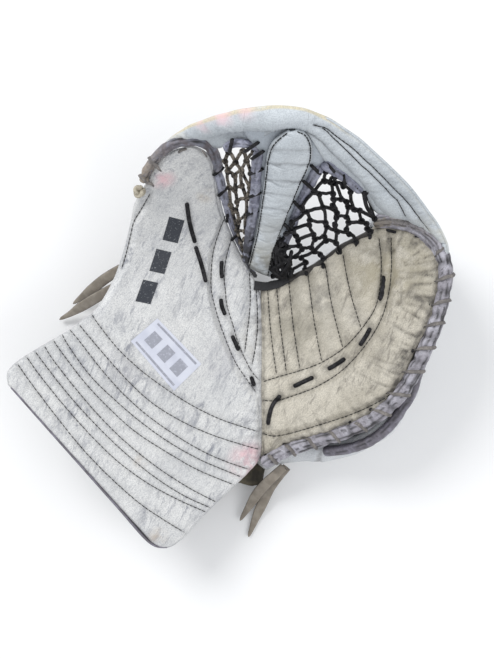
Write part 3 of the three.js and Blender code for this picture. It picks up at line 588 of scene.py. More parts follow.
class Look:
    """A Principled material put together from procedural nodes."""

    def __init__(self, name, roughness=0.6, **sockets):
        self.material = bpy.data.materials.new(name)
        self.material.use_nodes = True
        self.tree = self.material.node_tree
        self.shader = self.tree.nodes["Principled BSDF"]
        self.shader.inputs["Roughness"].default_value = roughness
        for socket, value in sockets.items():
            self.shader.inputs[socket.replace("_", " ")].default_value = value
        self.place = self.tree.nodes.new("ShaderNodeTexCoord").outputs["Object"]

    def plug(self, socket, value):
        if isinstance(value, bpy.types.NodeSocket):
            self.tree.links.new(value, socket)
        elif isinstance(value, tuple) and len(value) == 3 and socket.type == "RGBA":
            socket.default_value = (*value, 1)
        else:
            socket.default_value = value

    def noise(self, size, detail=3.0, rough=0.55, bend=0.0, stretch=1.0, turn=0.0):
        """Noise with features of about this size in mm, drawn out by stretch along the turn, in degrees."""
        node = self.tree.nodes.new("ShaderNodeTexNoise")
        node.inputs["Scale"].default_value = 1000.0 / size
        node.inputs["Detail"].default_value = detail
        node.inputs["Roughness"].default_value = rough
        node.inputs["Distortion"].default_value = bend
        source = self.place
        if stretch != 1.0:
            mapping = self.tree.nodes.new("ShaderNodeMapping")
            mapping.vector_type = "TEXTURE"
            mapping.inputs["Rotation"].default_value = (0, 0, math.radians(turn))
            mapping.inputs["Scale"].default_value = (stretch, 1, 1)
            self.plug(mapping.inputs["Vector"], self.place)
            source = mapping.outputs["Vector"]
        self.plug(node.inputs["Vector"], source)
        return node.outputs["Fac"]

    def cells(self, size, feature="DISTANCE_TO_EDGE"):
        node = self.tree.nodes.new("ShaderNodeTexVoronoi")
        node.feature = feature
        self.plug(node.inputs["Vector"], self.place)
        node.inputs["Scale"].default_value = 1000.0 / size
        return node.outputs["Distance"]

    def mask(self, value, low, high, top=1.0):
        node = self.tree.nodes.new("ShaderNodeMapRange")
        node.interpolation_type = "SMOOTHSTEP"
        self.plug(node.inputs["Value"], value)
        node.inputs["From Min"].default_value = low
        node.inputs["From Max"].default_value = high
        node.inputs["To Max"].default_value = top
        return node.outputs["Result"]

    def calc(self, operation, a, b=0.0):
        node = self.tree.nodes.new("ShaderNodeMath")
        node.operation = operation
        self.plug(node.inputs[0], a)
        self.plug(node.inputs[1], b)
        return node.outputs[0]

    def times(self, *values):
        result = values[0]
        for value in values[1:]:
            result = self.calc("MULTIPLY", result, value)
        return result

    def mix(self, amount, a, b):
        node = self.tree.nodes.new("ShaderNodeMix")
        node.data_type = "RGBA"
        self.plug(node.inputs[0], amount)
        self.plug(node.inputs[6], a)
        self.plug(node.inputs[7], b)
        return node.outputs[2]

    def attribute(self, name):
        node = self.tree.nodes.new("ShaderNodeAttribute")
        node.attribute_name = name
        return node.outputs["Fac"]

    def near(self, centre, radius):
        """1 at a point in mm, falling to 0 at the radius."""
        node = self.tree.nodes.new("ShaderNodeVectorMath")
        node.operation = "DISTANCE"
        self.plug(node.inputs[0], self.place)
        node.inputs[1].default_value = [c * MM for c in centre]
        return self.mask(node.outputs["Value"], radius * MM, 0.0)

    def bump(self, height, distance, strength=1.0, below=None):
        node = self.tree.nodes.new("ShaderNodeBump")
        node.inputs["Strength"].default_value = strength
        node.inputs["Distance"].default_value = distance * MM
        self.plug(node.inputs["Height"], height)
        if below is not None:
            self.plug(node.inputs["Normal"], below)
        return node.outputs["Normal"]

    def done(self, color, normal=None, roughness=None):
        self.plug(self.shader.inputs["Base Color"], color)
        if normal is not None:
            self.plug(self.shader.inputs["Normal"], normal)
        if roughness is not None:
            self.plug(self.shader.inputs["Roughness"], roughness)
        return self.material


def leather(name, light, shade, scuff, dirt_and_shade_color, turn, scuffing, stains=(), tint_and_shade_color=(0.6, 0.55, 0.4)):
    """Worn synthetic leather: mottling, scuffs drawn one way, specks, dirt in the seams, painted shade in
    folds, around laces and along the break, and a fine grain.
    """
    look = Look(name, LEATHER_ROUGHNESS)
    color = look.mix(look.mask(look.noise(42, 4), 0.35, 0.68), light, shade)
    tint_and_shade = look.times(look.attribute("tint_and_shade"), look.mask(look.noise(9, 3), 0.1, 0.45))
    color = look.mix(tint_and_shade, color, tint_and_shade_color)
    patch = look.mask(look.noise(34, 5, 0.6, 0.4), 0.36, 0.64)
    broad = look.mask(look.noise(10, 5, 0.7, 0.5, 4, turn), 0.5, 0.66)
    color = look.mix(look.times(patch, broad, scuffing), color, scuff)
    middling = look.mask(look.noise(3.5, 5, 0.7, 0.6, 5, turn + 8), 0.53, 0.64)
    color = look.mix(look.times(patch, middling, scuffing), color, scuff)
    fine = look.mask(look.noise(1.1, 4, 0.75, 0.3, 9, turn - 10), 0.53, 0.68)
    color = look.mix(look.times(fine, scuffing * 0.75), color, scuff)
    pale = look.mask(look.noise(2.1, 4, 0.7, 0.8, 3, turn + 30), 0.58, 0.76)
    color = look.mix(look.times(pale, 0.3), color, tuple(min(1, c * 1.18) for c in light))
    specks = look.mask(look.noise(1.6, 2), 0.67, 0.76)
    color = look.mix(look.times(specks, scuffing * 0.7), color, dirt_and_shade_color)
    color = look.mix(look.mask(look.noise(0.9, 2), 0.4, 0.62, 0.3), color, scuff)
    for centre, radius, stain, amount in stains:
        blot = look.times(look.near(centre, radius), look.mask(look.noise(14, 3), 0.3, 0.6), amount)
        color = look.mix(blot, color, stain)
    # Dirt along the seams and painted shade in the folds, around the laces and along the break, from the
    # vertex values.
    dirt_and_shade = look.times(look.attribute("grime_and_shade"), look.calc("ADD", look.mask(look.noise(7, 3), 0.3, 0.7), 0.45))
    color = look.mix(look.calc("MINIMUM", dirt_and_shade, 0.85), color, dirt_and_shade_color)
    normal = look.bump(look.cells(1.3), 0.12, 0.5)
    normal = look.bump(look.noise(3.5, 4, 0.6, 1.5, 2.4, turn), 0.5, 0.5, normal)
    rough = look.calc("ADD", look.times(patch, 0.14), LEATHER_ROUGHNESS - 0.05)
    return look.done(color, normal, rough)


def rolled(name, light, shade, worn, tint_and_shade_color=(0.3, 0.25, 0.2)):
    """Soft rolled binding: painted shade, near black, in its folds, slits and pinches, and rubbed on its
    crown.
    """
    look = Look(name, 0.5)
    color = look.mix(look.mask(look.noise(12, 4, 0.6, 0.8), 0.36, 0.62), light, shade)
    color = look.mix(look.times(look.attribute("tint_and_shade"), look.mask(look.noise(5, 3), 0.3, 0.5)), color, tint_and_shade_color)
    rub = look.mask(look.noise(3.2, 4, 0.7, 1.2), 0.5, 0.66)
    color = look.mix(look.times(rub, 0.55), color, worn)
    color = look.mix(look.mask(look.noise(1.1, 3), 0.58, 0.72, 0.4), color, worn)
    # Painted shade, near black, in the creases, slits, pinches and hollows of the roll.
    color = look.mix(look.calc("MINIMUM", look.attribute("grime_and_shade"), 0.95), color, (0.012, 0.011, 0.012))
    return look.done(color, look.bump(look.noise(2.6, 5, 0.65, 1.5), 0.5, 0.7))


def cordage(name, light, dark, twist=1.1, roughness=0.6, shine=0.2):
    """Braided or rawhide lace."""
    look = Look(name, roughness, Specular_IOR_Level=shine)
    color = look.mix(look.mask(look.noise(6, 3), 0.35, 0.65), dark, light)
    color = look.mix(look.mask(look.noise(1.4, 3), 0.5, 0.62, 0.8), color, dark)
    color = look.mix(look.calc("MINIMUM", look.attribute("grime_and_shade"), 0.9), color, (0.01, 0.01, 0.01))
    return look.done(color, look.bump(look.cells(twist, "F1"), 0.35, 0.7))


def fabric(name, light, dark, pitch):
    """Woven cloth."""
    look = Look(name, 0.85)
    weave = look.tree.nodes.new("ShaderNodeTexWave")
    look.plug(weave.inputs["Vector"], look.place)
    weave.inputs["Scale"].default_value = 1000.0 / pitch / 6.28
    weave.inputs["Distortion"].default_value = 2.0
    color = look.mix(look.mask(look.noise(16, 4), 0.35, 0.65), dark, light)
    color = look.mix(look.mask(look.noise(1.1, 2), 0.5, 0.7, 0.5), color, dark)
    color = look.mix(look.times(look.attribute("grime_and_shade"), 0.7), color, (0.01, 0.01, 0.01))
    return look.done(color, look.bump(weave.outputs["Fac"], 0.3, 0.6))


def speckled(name, light, dark, size, low, high, roughness, grain=1.3):
    """A printed or moulded surface."""
    look = Look(name, roughness)
    color = look.mix(look.mask(look.noise(size, 3), low, high), light, dark)
    color = look.mix(look.mask(look.noise(1.2, 3), 0.6, 0.72, 0.4), color, dark)
    return look.done(color, look.bump(look.cells(grain), 0.1, 0.4))


WHITE = leather(
    "thumb_leather", (0.70, 0.70, 0.685), (0.60, 0.605, 0.60), (0.13, 0.14, 0.185), (0.07, 0.068, 0.075),
    62, scuffing=0.55,
    stains=[((-12, -70, 58), 24, (0.72, 0.38, 0.42), 0.8), ((-83, 173, 134), 14, (0.75, 0.42, 0.46), 0.7),
            ((-50, 165, 109), 12, (0.42, 0.34, 0.24), 0.7), ((-92, -134, 80), 12, (0.40, 0.30, 0.2), 0.6),
            ((-107, -68, 85), 9, (0.40, 0.30, 0.2), 0.5), ((-122, 14, 90), 24, (0.2, 0.2, 0.23), 0.45),
            ((-40, 20, 60), 26, (0.26, 0.26, 0.3), 0.35), ((-5, 40, 56), 26, (0.38, 0.36, 0.31), 0.5)])
PALM = leather(
    "palm_leather", (0.60, 0.56, 0.475), (0.45, 0.415, 0.34), (0.12, 0.108, 0.095), (0.05, 0.045, 0.04), 60,
    scuffing=0.62,
    stains=[((40, 62, 60), 74, (0.24, 0.225, 0.185), 0.55), ((52, 75, 70), 18, (0.12, 0.115, 0.11), 0.7),
            ((82, 60, 80), 16, (0.15, 0.14, 0.125), 0.6), ((112, 100, 95), 58, (0.3, 0.265, 0.175), 0.7),
            ((104, 120, 95), 14, (0.12, 0.11, 0.1), 0.5), ((128, 60, 95), 22, (0.3, 0.27, 0.21), 0.5)])
RIM_LEATHER = leather(
    "rim_leather", (0.62, 0.66, 0.69), (0.54, 0.58, 0.61), (0.2, 0.225, 0.26), (0.10, 0.10, 0.11), 20,
    scuffing=0.3,
    tint_and_shade_color=(0.66, 0.60, 0.44),
    stains=[((-52, 208, 188), 15, (0.8, 0.53, 0.57), 0.7), ((-34, 212, 203), 15, (0.8, 0.53, 0.57), 0.7),
            ((-14, 213, 213), 11, (0.8, 0.55, 0.58), 0.6), ((-70, 203, 158), 18, (0.56, 0.53, 0.45), 0.7),
            ((150, 122, 130), 40, (0.60, 0.58, 0.50), 0.6),
            ((0, 108, 78), 40, (0.35, 0.335, 0.27), 0.9), ((6, 138, 108), 30, (0.38, 0.385, 0.37), 0.6)])
TEE_LEATHER = leather(
    "tee_leather", (0.50, 0.545, 0.59), (0.40, 0.44, 0.48), (0.22, 0.24, 0.28), (0.09, 0.09, 0.095), 30,
    scuffing=0.4,
    stains=[((0, 108, 75), 34, (0.36, 0.34, 0.27), 0.8), ((0, 140, 105), 26, (0.4, 0.39, 0.35), 0.4)])
SHELL = leather(
    "shell_leather", (0.68, 0.695, 0.71), (0.58, 0.6, 0.62), (0.26, 0.27, 0.3), (0.12, 0.11, 0.11), 40,
    scuffing=0.4)
ROLL_GREY = rolled("roll_grey", (0.44, 0.43, 0.48), (0.31, 0.295, 0.33), (0.1, 0.09, 0.1), (0.22, 0.19, 0.15))
ROLL_DARK = rolled("roll_dark", (0.13, 0.12, 0.14), (0.20, 0.19, 0.23), (0.06, 0.055, 0.065))
ROLL_TIP = rolled("roll_tip", (0.20, 0.205, 0.25), (0.14, 0.12, 0.13), (0.07, 0.06, 0.065),
    (0.32, 0.27, 0.215))
# roll_blue's tint colour is near black: painted shade on the lower part of the thumb net binding; on the T's
# bindings it darkens the lower ends.
ROLL_BLUE = rolled("roll_blue", (0.2, 0.205, 0.27), (0.34, 0.35, 0.43), (0.05, 0.05, 0.065),
    (0.012, 0.011, 0.012))
ROLL_BLACK = rolled("roll_black", (0.018, 0.016, 0.015), (0.04, 0.034, 0.03), (0.08, 0.07, 0.06))
LACE_BLACK = cordage("lace_black", (0.026, 0.025, 0.028), (0.004, 0.004, 0.005), roughness=0.42)
LACE_WORN = cordage("lace_worn", (0.23, 0.2, 0.165), (0.01, 0.009, 0.009), 1.6)
LOOP_HIDE = cordage("loop_hide", (0.24, 0.22, 0.205), (0.14, 0.13, 0.125), 0.8)
KNOT_HIDE = cordage("knot_hide", (0.50, 0.46, 0.37), (0.32, 0.29, 0.23), 0.8)
THREAD_AND_SEAM_SHADOW = cordage("thread_and_seam_shadow", (0.03, 0.03, 0.029), (0.006, 0.006, 0.006), 0.5, shine=0.1)
LINING = fabric("lining_fabric", (0.05, 0.05, 0.053), (0.026, 0.026, 0.028), 1.6)
WRIST_FABRIC = fabric("wrist_fabric", (0.11, 0.095, 0.062), (0.045, 0.04, 0.03), 2.2)
WEBBING = fabric("webbing", (0.03, 0.03, 0.032), (0.014, 0.014, 0.016), 1.2)
PAPER = speckled("label_paper", (0.60, 0.62, 0.70), (0.53, 0.55, 0.64), 18, 0.4, 0.7, 0.4)
INK_BLACK = speckled("printed_black", (0.022, 0.026, 0.036), (0.25, 0.26, 0.27), 1.6, 0.6, 0.72, 0.55)
INK_GREY = speckled("printed_grey", (0.30, 0.31, 0.36), (0.42, 0.43, 0.5), 2.0, 0.5, 0.7, 0.55)
PLASTIC = speckled("black_plastic", (0.02, 0.02, 0.022), (0.032, 0.032, 0.035), 5, 0.4, 0.6, 0.42, 0.8)
TAIL_LOOK = Look("tail_hide", 0.6)
tail_patches = TAIL_LOOK.mask(TAIL_LOOK.noise(9, 3), 0.35, 0.7)
TAIL_COLOR = TAIL_LOOK.mix(tail_patches, (0.215, 0.185, 0.15), (0.30, 0.265, 0.22))
tail_grime = TAIL_LOOK.mask(TAIL_LOOK.attribute("grime_and_shade"), 0.4, 0.7)
TAIL_COLOR = TAIL_LOOK.mix(tail_grime, TAIL_COLOR, (0.012, 0.011, 0.012))
TAIL_HIDE = TAIL_LOOK.done(TAIL_COLOR, TAIL_LOOK.bump(TAIL_LOOK.noise(1.2, 4), 0.25, 0.6))


# ---------- the free lace ends ----------
TAIL_SIDES = 14


def tail(name, route, tilt, body, node):
    """A flat rawhide end, cut to a point."""
    path = smooth(route, spacing=2.0)
    s = np.linspace(0, 1, len(path))
    width = TAIL_WIDTH * np.clip(np.minimum(1.0, 0.12 + 1.5 * np.sqrt(np.clip(1 - s, 0, 1))), 0, 1)
    width *= 0.82 + 0.18 * np.sin(np.pi * np.clip(s * 1.1, 0, 1))
    section = np.array([flat(w, TAIL_THICKNESS, TAIL_SIDES) for w in width])
    points, faces = sweep(path, section, up=tilt)
    cut_edge = np.tile(np.abs(circle(1, TAIL_SIDES)[:, 0]) ** 10, len(path))
    obj = piece(name, Shape().add(points, faces, cut_edge), body, TAIL_HIDE, [node])
    run_length(path)[-1] * MM


tail("heel_lace_end_upper", HEEL_TAIL_UPPER, (0, 0, 1), "palm", "heel_tail_upper")
tail("heel_lace_end_lower", HEEL_TAIL_LOWER, (0, 0, 1), "palm", "heel_tail_lower")
tail("thumb_lace_end_upper", THUMB_TAIL_UPPER, (-0.3, -0.5, 0.8), "thumb", "thumb_tail_upper")
tail("thumb_lace_end_lower", THUMB_TAIL_LOWER, (-0.3, -0.5, 0.8), "thumb", "thumb_tail_lower")


# ---------- stitching, laces and bindings ----------
def stitches(lines, height=None, pitch=3.9, length=2.8, radius=0.36, thread_and_seam_shadow=0.22):
    """Stitches one after another over a thin dark line that shows between them: painted seam shadow."""
    shape = Shape()
    for line in lines:
        path = smooth(line, spacing=0.5)
        if path.shape[1] == 2:
            path = lift(path, height)
        # The thin dark line sunk along the seam is painted seam shadow.
        if thread_and_seam_shadow:
            shape.add(*sweep(path[::3] - np.array([0, 0, 0.15]), circle(thread_and_seam_shadow, 5)))
        for i in range(int(len(path) * 0.5 / pitch)):
            centre = (i + 0.5) * pitch / 0.5 + random.uniform(-0.5, 0.5)
            spots = np.clip(centre + length * np.array([-1, -0.6, 0, 0.6, 1]), 0, len(path) - 1)
            run = np.column_stack([np.interp(spots, np.arange(len(path)), path[:, k]) for k in range(3)])
            if np.linalg.norm(run[-1] - run[0]) < 0.8:
                continue
            run[:, 2] += np.array([-0.35, 0.15, 0.3, 0.15, -0.35])
            shape.add(*sweep(run, circle(radius, 5)))
    return shape


def cord(path, radius, sides=8):
    """A round cord with rounded ends."""
    return sweep(path, circle(radius, sides), ends=radius * 1.2)


def lace_dash(points, height, radius=1.9):
    """A lace that shows for a short way: out of the leather at one end and back into it at the other."""
    path = smooth(points, spacing=1.0)
    s = np.linspace(0, 1, len(path))
    path = lift(path, height)
    path[:, 2] += radius * 0.55 * np.sqrt(np.clip(1 - (2 * s - 1) ** 6, 0, 1)) - radius * 0.45
    return sweep(path, flat(radius * 2, radius * 1.5, 12, 2.4), up=(0, 0, 1), ends=radius * 1.3)


def lace_dashes(lines, height, radius):
    shape = Shape()
    for line in lines:
        shape.add(*lace_dash(line, height, radius))
    return shape


def tie(points, width=3.2, thick=1.8):
    """A flat lace over a binding."""
    return sweep(smooth(points, spacing=1.0), flat(width, thick, 12, 2.4), up=(0, -0.4, 0.9), ends=1.4)


def binding(points, radius, seams=(100, 200), sides=28, lumps=0.35, pinches=(), slits=(), up=None, tint_and_shade=None):
    """A rolled leather binding. seams are the angles of the creases along it, pinches the places where laces
    pull it in, and slits (angle, first, last) the gaps beside it, which get painted shade. radius may run
    from one end's to the other's."""
    path = smooth(points, spacing=1.3 / FINE)
    s = run_length(path)
    angle = np.linspace(0, 360, sides, endpoint=False)
    base = np.interp(s / s[-1], np.linspace(0, 1, len(np.atleast_1d(radius))), np.atleast_1d(radius))
    r = np.repeat(base[:, None], sides, axis=1)
    crease = np.zeros_like(r)
    for seam in seams:
        wander = seam + 14 * np.sin(s / 17 + seam)
        crease += hill((angle[None] - wander[:, None] + 180) % 360 - 180, 11)
    dark = np.zeros_like(r)
    for middle, first, last in slits:
        inside = np.clip(np.minimum(s - first, last - s) / 3, 0, 1)[:, None]
        dark += inside * hill((angle[None] - middle + 180) % 360 - 180, 15)
    turn = np.radians(angle)
    around = np.column_stack([np.repeat(s, sides) / 6, np.tile(np.cos(turn), len(s)) * 1.2,
                              np.tile(np.sin(turn), len(s)) * 1.2])
    rough = np.array([noise.noise(Vector(p) + Vector((base[0], 0, 0))) for p in around]).reshape(r.shape)
    r += (lumps * 1.7 * rough - 0.85 * crease - 1.3 * dark) * np.minimum(1, base[:, None] / 5)
    tight = np.zeros(len(path))
    for pinch in pinches:
        tight += hill(s - pinch, 2.6)
    r -= 0.9 * tight[:, None]
    section = np.dstack([r * np.cos(turn), r * np.sin(turn)])
    # Painted shade, near black in the roll's material, in the creases, the slits, the pinches and the hollows
    # of the lumps.
    grime_and_shade = 0.8 * crease * (rough > -0.1) + dark + 0.45 * tight[:, None] + 0.25 * (rough < -0.25)
    grime_and_shade = np.clip(grime_and_shade, 0, 1)
    result = sweep(path, section, up=up, ends=float(base.min()) * 0.9)
    return (*result, grime_and_shade.ravel(), 0.0 if tint_and_shade is None else np.repeat(tint_and_shade(s / s[-1]), sides))


# ---------- the palm ----------
def folds(run, depth, across, along_size):
    """Ridged folds that run in from an edge."""
    spots = np.column_stack([run.ravel() / across, depth.ravel() / along_size, 0 * run.ravel()])
    return np.array([1 - min(1, abs(noise.noise(Vector(p)) * 3.2)) for p in spots]).reshape(run.shape) ** 3


def palm_surface(x, y):
    seam, _ = nearest(PALM_SEAMS, x, y)
    edge, run = nearest([PALM_LIP], x, y)
    lace, _ = nearest(PALM_LACES, x, y)
    plan = np.column_stack([x.ravel(), y.ravel(), 0 * x.ravel()])
    z = palm_z(x, y) - 1.1 * hill(seam, 1.7) - 1.0 * hill(lace, 4.0)
    z += 0.8 * bumps(plan, 26, 3).reshape(x.shape) + 0.35 * bumps(plan, 9, 5).reshape(x.shape)
    right = np.clip((x - 60) / 60, 0, 1) * np.clip((y + 20) / 30, 0, 1)
    pull = np.clip(1 - edge / 40, 0, 1) * np.clip(edge / 4, 0, 1) * (0.55 + 0.8 * right)
    ridge = folds(run, edge, 12, 45) + 0.5 * folds(run + 40, edge, 5, 30)
    z -= 2.1 * pull * ridge
    z -= 3.0 * np.clip((-34 - y) / 12, 0, 1) * hill(x, 5) + 1.2 * hill(x, 4)
    # Seam dirt and seam shadow along the seams; painted shade in the folds, around the lace dashes, at the
    # rolled lip and along the break where the thumb's leather overlaps the palm.
    grime_and_shade = 0.32 * hill(seam, 0.9) + 0.12 * hill(seam, 3) + 0.55 * pull * ridge + 0.45 * hill(lace, 4)
    grime_and_shade += 0.6 * hill(edge, 2.6) + 0.45 * hill(x - 1, 2.2)
    return z, np.clip(grime_and_shade, 0, 1), seam < 1.5


LIP_TURN = [(1.0, 0.6), (1.8, 1.8), (2.2, 3.5), (2.2, 9.5), (-3, 10.5)]
PALM_BORDER = to_right(PALM_LIP, 0.8)
palm = Shape().add(*skin(
    PALM_BREAK, np.vstack([PALM_BORDER, PALM_NET_EDGE]), 300, 140, palm_surface, LIP_TURN, 0.03, 25))
palm_leather = piece("palm_leather_sheet", palm, "palm", PALM,
    ["palm_facing", "palm_padding"])
on_palm = top_of(palm.points[0], palm.faces, palm_z)
piece("palm_stitching_and_seam_shadow", stitches(PALM_SEAMS, on_palm), "palm", THREAD_AND_SEAM_SHADOW)
piece("palm_lace_dashes", lace_dashes(PALM_LACES, on_palm, 2.0), "palm", LACE_BLACK,
    ["palm_lace"])


def lining_surface(height, depth):
    """A quilted cloth this far below a height."""
    def surface(x, y):
        quilt = np.abs(np.sin((x + y) / 9)) * np.abs(np.sin((x - y) / 9))
        return height(x, y) - depth - 0.5 * quilt, np.clip(0.6 - quilt, 0, 1), quilt > 2
    return surface


lining = Shape().add(*skin(
    [(3, -58), (3, 9), (3, 80)], np.vstack([PALM_LIP, PALM_NET_EDGE]) * np.array([0.975, 0.985]), 110, 50,
    lining_surface(palm_z, 11.4), [(0.6, 0.8), (0.0, 1.8)]))
piece("palm_lining_cloth", lining, "palm", LINING, ["palm_lining"])

# ---------- the palm's two rolled edges and the whip lace ----------
roll_path = lift(smooth(PALM_RIM, spacing=3.0), palm_z, -2.0)
rim_plan = smooth(PALM_RIM, spacing=1.0)
whip_spots = [float(np.argmin(np.hypot(*(rim_plan - np.array(hole)).T))) for hole in WHIP_HOLES]
edge_roll = Shape().add(*binding(
    roll_path, EDGE_ROLL_RADIUS, (62, 118, 170), pinches=[spot + 3 for spot in whip_spots], up=(0, 0, 1),
    slits=[(34, 36, 62), (28, 84, 120), (38, 150, 176), (30, 205, 250), (35, 262, 290)]))
piece("palm_rolled_edge", edge_roll, "palm", ROLL_GREY, ["palm_edge_roll"])
SHELL_ROLL = [point for point in SHELL_TOP if point[0] > 48]
shell_roll_path = [(x, y, palm_z(x, y) - SHELL_DROP) for x, y in SHELL_ROLL]
shell_roll = Shape().add(*binding(shell_roll_path, SHELL_ROLL_RADIUS, (80, 200), 20))
piece("shell_rolled_edge", shell_roll, "palm", ROLL_DARK, ["shell_edge_roll"])


def whip_loops(route, holes, height, radius, slants, width, reach):
    """Lace bands that come up through holes in the leather, cross the roll at a slant and go down outside."""
    path = smooth(route, spacing=1.0)
    t = along(path)
    outward = np.column_stack([t[:, 1], -t[:, 0]])
    shape = Shape()
    for hole, slant in zip(holes, slants):
        middle = int(np.argmin(np.hypot(*(path - np.array(hole)).T)))
        depth = -np.hypot(*(path[middle] - np.array(hole)))
        line = []
        for o, up, share in ((depth, 0.9, 0), (depth + 2.5, 2.7, 0.15), (-radius * 0.6, radius * 0.85, 0.35),
                             (0.0, radius + 1.0, 0.55), (radius * 0.7, radius * 0.85, 0.75),
                             (radius + 0.3, 0.3, 0.9), (radius - 0.3, -reach, 1.0)):
            k = int(np.clip(round(middle + slant * share), 0, len(path) - 1))
            p = path[k] + outward[k] * o
            line.append((p[0], p[1], height(path[k][0], path[k][1]) - 2 + up))
        run = smooth(line, spacing=0.9)
        centre = np.array([*path[middle], height(path[middle][0], path[middle][1]) - 5])
        s = np.linspace(0, 1, len(run))
        widths = width * np.clip(0.22 + s * 3.2, 0.22, 1) * (1 - 0.12 * s)
        section = np.array([flat(w, 1.6, 12, 2.6) for w in widths])
        shape.add(*sweep(run, section, up=run - centre, ends=1.0), np.repeat(np.clip(0.8 - s * 6, 0, 1), 12))
    return shape


whip_slants = np.interp(whip_spots, [0, 60, 130, 200, 260], [5, 9, 12, 10, 8])
whips = whip_loops(PALM_RIM, WHIP_HOLES, palm_z, EDGE_ROLL_RADIUS, whip_slants, 3.5, 10.0)
piece("edge_whip_lace", whips, "palm", LOOP_HIDE, ["edge_lace"])
holes = Shape()
for x, y in WHIP_HOLES:
    k = int(np.argmin(np.hypot(*(rim_plan - np.array((x, y))).T)))
    t = along(rim_plan)[k] * 1.6
    z = float(palm_z(x, y))
    loop = [(x - t[0], y - t[1], z - 0.8), (x, y, z + 0.5), (x + t[0], y + t[1], z - 0.8)]
    holes.add(*cord(smooth(loop, 0.6), 1.1, 6))
piece("edge_lace_eyelets", holes, "palm", LACE_BLACK)

# ---------- the net edge and corner of the palm ----------
net_edge_path = lift(smooth([(97, 135)] + PALM_NET_EDGE, spacing=2.0), palm_z, -1.0)
net_roll = Shape().add(*binding(net_edge_path, 2.9, (100,), 16, 0.5))
piece("palm_net_binding", net_roll, "palm", ROLL_BLACK, ["palm_net_roll"])
corner_path = lift(
    [(96, 139.5), (109, 141), (120.5, 139.5), (131, 136), (140, 130), (147.5, 122), (151, 113)], palm_z, 2.5)
corner = Shape().add(*binding(corner_path, 4.0, (60, 130, 200), 22, 0.8, tint_and_shade=lambda s: 1 - s))
piece("palm_corner_binding", corner, "palm", ROLL_GREY)
corner_laces = Shape()
for line in ([(104.5, 135), (115.5, 131.5)], [(129.5, 128), (136.5, 125.5)]):
    corner_laces.add(*lace_dash([line[0], np.mean(line, axis=0), line[1]], palm_z, 1.3))
for (x, low), high in (((93.5, 126), 133), ((82.5, 119.5), 126.5), ((68.5, 115.5), 122), ((54, 102), 108.5),
                       ((39.5, 96), 101.5), ((24, 92.5), 97.5)):
    z = float(palm_z(x, low))
    corner_laces.add(*tie([(x, low, z + 0.6), (x, (low + high) / 2, z + 1.6), (x, high, z - 0.6)], 3.4))
piece("palm_net_ties", corner_laces, "palm", LACE_BLACK)
strap_path = lift(smooth([(-7, 88), (3, 87), (14, 89), (24, 93)], spacing=1.5), palm_z, 1.6)
strap_widths = np.interp(np.linspace(0, 1, len(strap_path)), [0, 0.7, 1], [8.5, 7, 5])
pocket_strap = Shape().add(*sweep(strap_path, [flat(w, 2.0, 12, 5) for w in strap_widths], up=(0, 0, 1)))
piece("pocket_webbing", pocket_strap, "palm", WEBBING, ["pocket_strap"])

# ---------- the back of the fingers ----------
SHELL_OUTER = [
    (-2, 1), (3, 0.86), (5.5, 0.66), (5.5, 0.48), (4.5, 0.3), (0, 0.16), (-8, 0.07), (-22, 0), (-36, 0)]
SHELL_SEGMENT = 46.0  # between the seams that run down the shell
SHELL_SEAM_LEVELS = (0.36, 0.62)  # shares of the way down
OUTSIDE_COLUMNS = 34
INSIDE_COLUMNS = 12
SHELL_THICKNESS = 7
SHELL_FOOT = 1.5
shell_path = smooth(SHELL_TOP, spacing=2.0 / FINE)
shell_out = np.column_stack([along(shell_path)[:, 1], -along(shell_path)[:, 0]])
shell_run = run_length(shell_path)
shell_rows = len(shell_path)
top = palm_z(*shell_path.T) - SHELL_DROP - 3
share = np.linspace(0, 1, OUTSIDE_COLUMNS)
offset, level = smooth(SHELL_OUTER, count=OUTSIDE_COLUMNS).T
bulge = 9 * hill(shell_path[:, 0] - 42, 26)[:, None] * hill(level - 0.55, 0.3)[None]
out_by = offset[None] + bulge
skin_points = np.dstack([
    shell_path[:, :1] + shell_out[:, :1] * out_by, shell_path[:, 1:] + shell_out[:, 1:] * out_by,
    SHELL_FOOT + (top[:, None] - SHELL_FOOT) * level[None]])
seam_gap = np.abs((shell_run / SHELL_SEGMENT + 0.3) % 1 - 0.5)[:, None] * SHELL_SEGMENT
cross_gap = np.min([np.abs(share - at) for at in SHELL_SEAM_LEVELS], axis=0)[None] * 120
sewn = (seam_gap < 1.2) | (cross_gap < 2) | (share[None] > 0.9) | (share[None] < 0.03)
skin_points = puffed(skin_points, sewn | border_of(sewn.shape), 40, 0.02)
inner_share = np.linspace(1, 0, INSIDE_COLUMNS)
inner_out = np.interp(inner_share, share, offset) - SHELL_THICKNESS
inner_level = np.interp(inner_share, share, level)
inside = np.dstack([
    shell_path[:, :1] + shell_out[:, :1] * inner_out, shell_path[:, 1:] + shell_out[:, 1:] * inner_out,
    np.maximum(8, SHELL_FOOT + (top[:, None] - SHELL_FOOT) * inner_level[None])])
# Darker along the seams between the puffs: seam dirt and painted seam shadow.
shell_seam_dirt_and_shade = 0.6 * np.maximum(hill(seam_gap, 1.6), hill(cross_gap, 2))
shell_seam_dirt_and_shade = np.hstack([shell_seam_dirt_and_shade, np.zeros((shell_rows, INSIDE_COLUMNS))])
shell = Shape().add(
    np.concatenate([skin_points, inside], axis=1), tube_faces(shell_rows, OUTSIDE_COLUMNS + INSIDE_COLUMNS),
    shell_seam_dirt_and_shade.ravel())
shell_piece = piece("finger_back_shell", shell, "palm", SHELL, ["finger_shell"])
shell_seams = Shape()
for at in SHELL_SEAM_LEVELS:
    shell_seams.add(*cord(skin_points[::2, int(at * (OUTSIDE_COLUMNS - 1))], 0.5, 6))
piece("shell_stitching", shell_seams, "palm", THREAD_AND_SEAM_SHADOW)

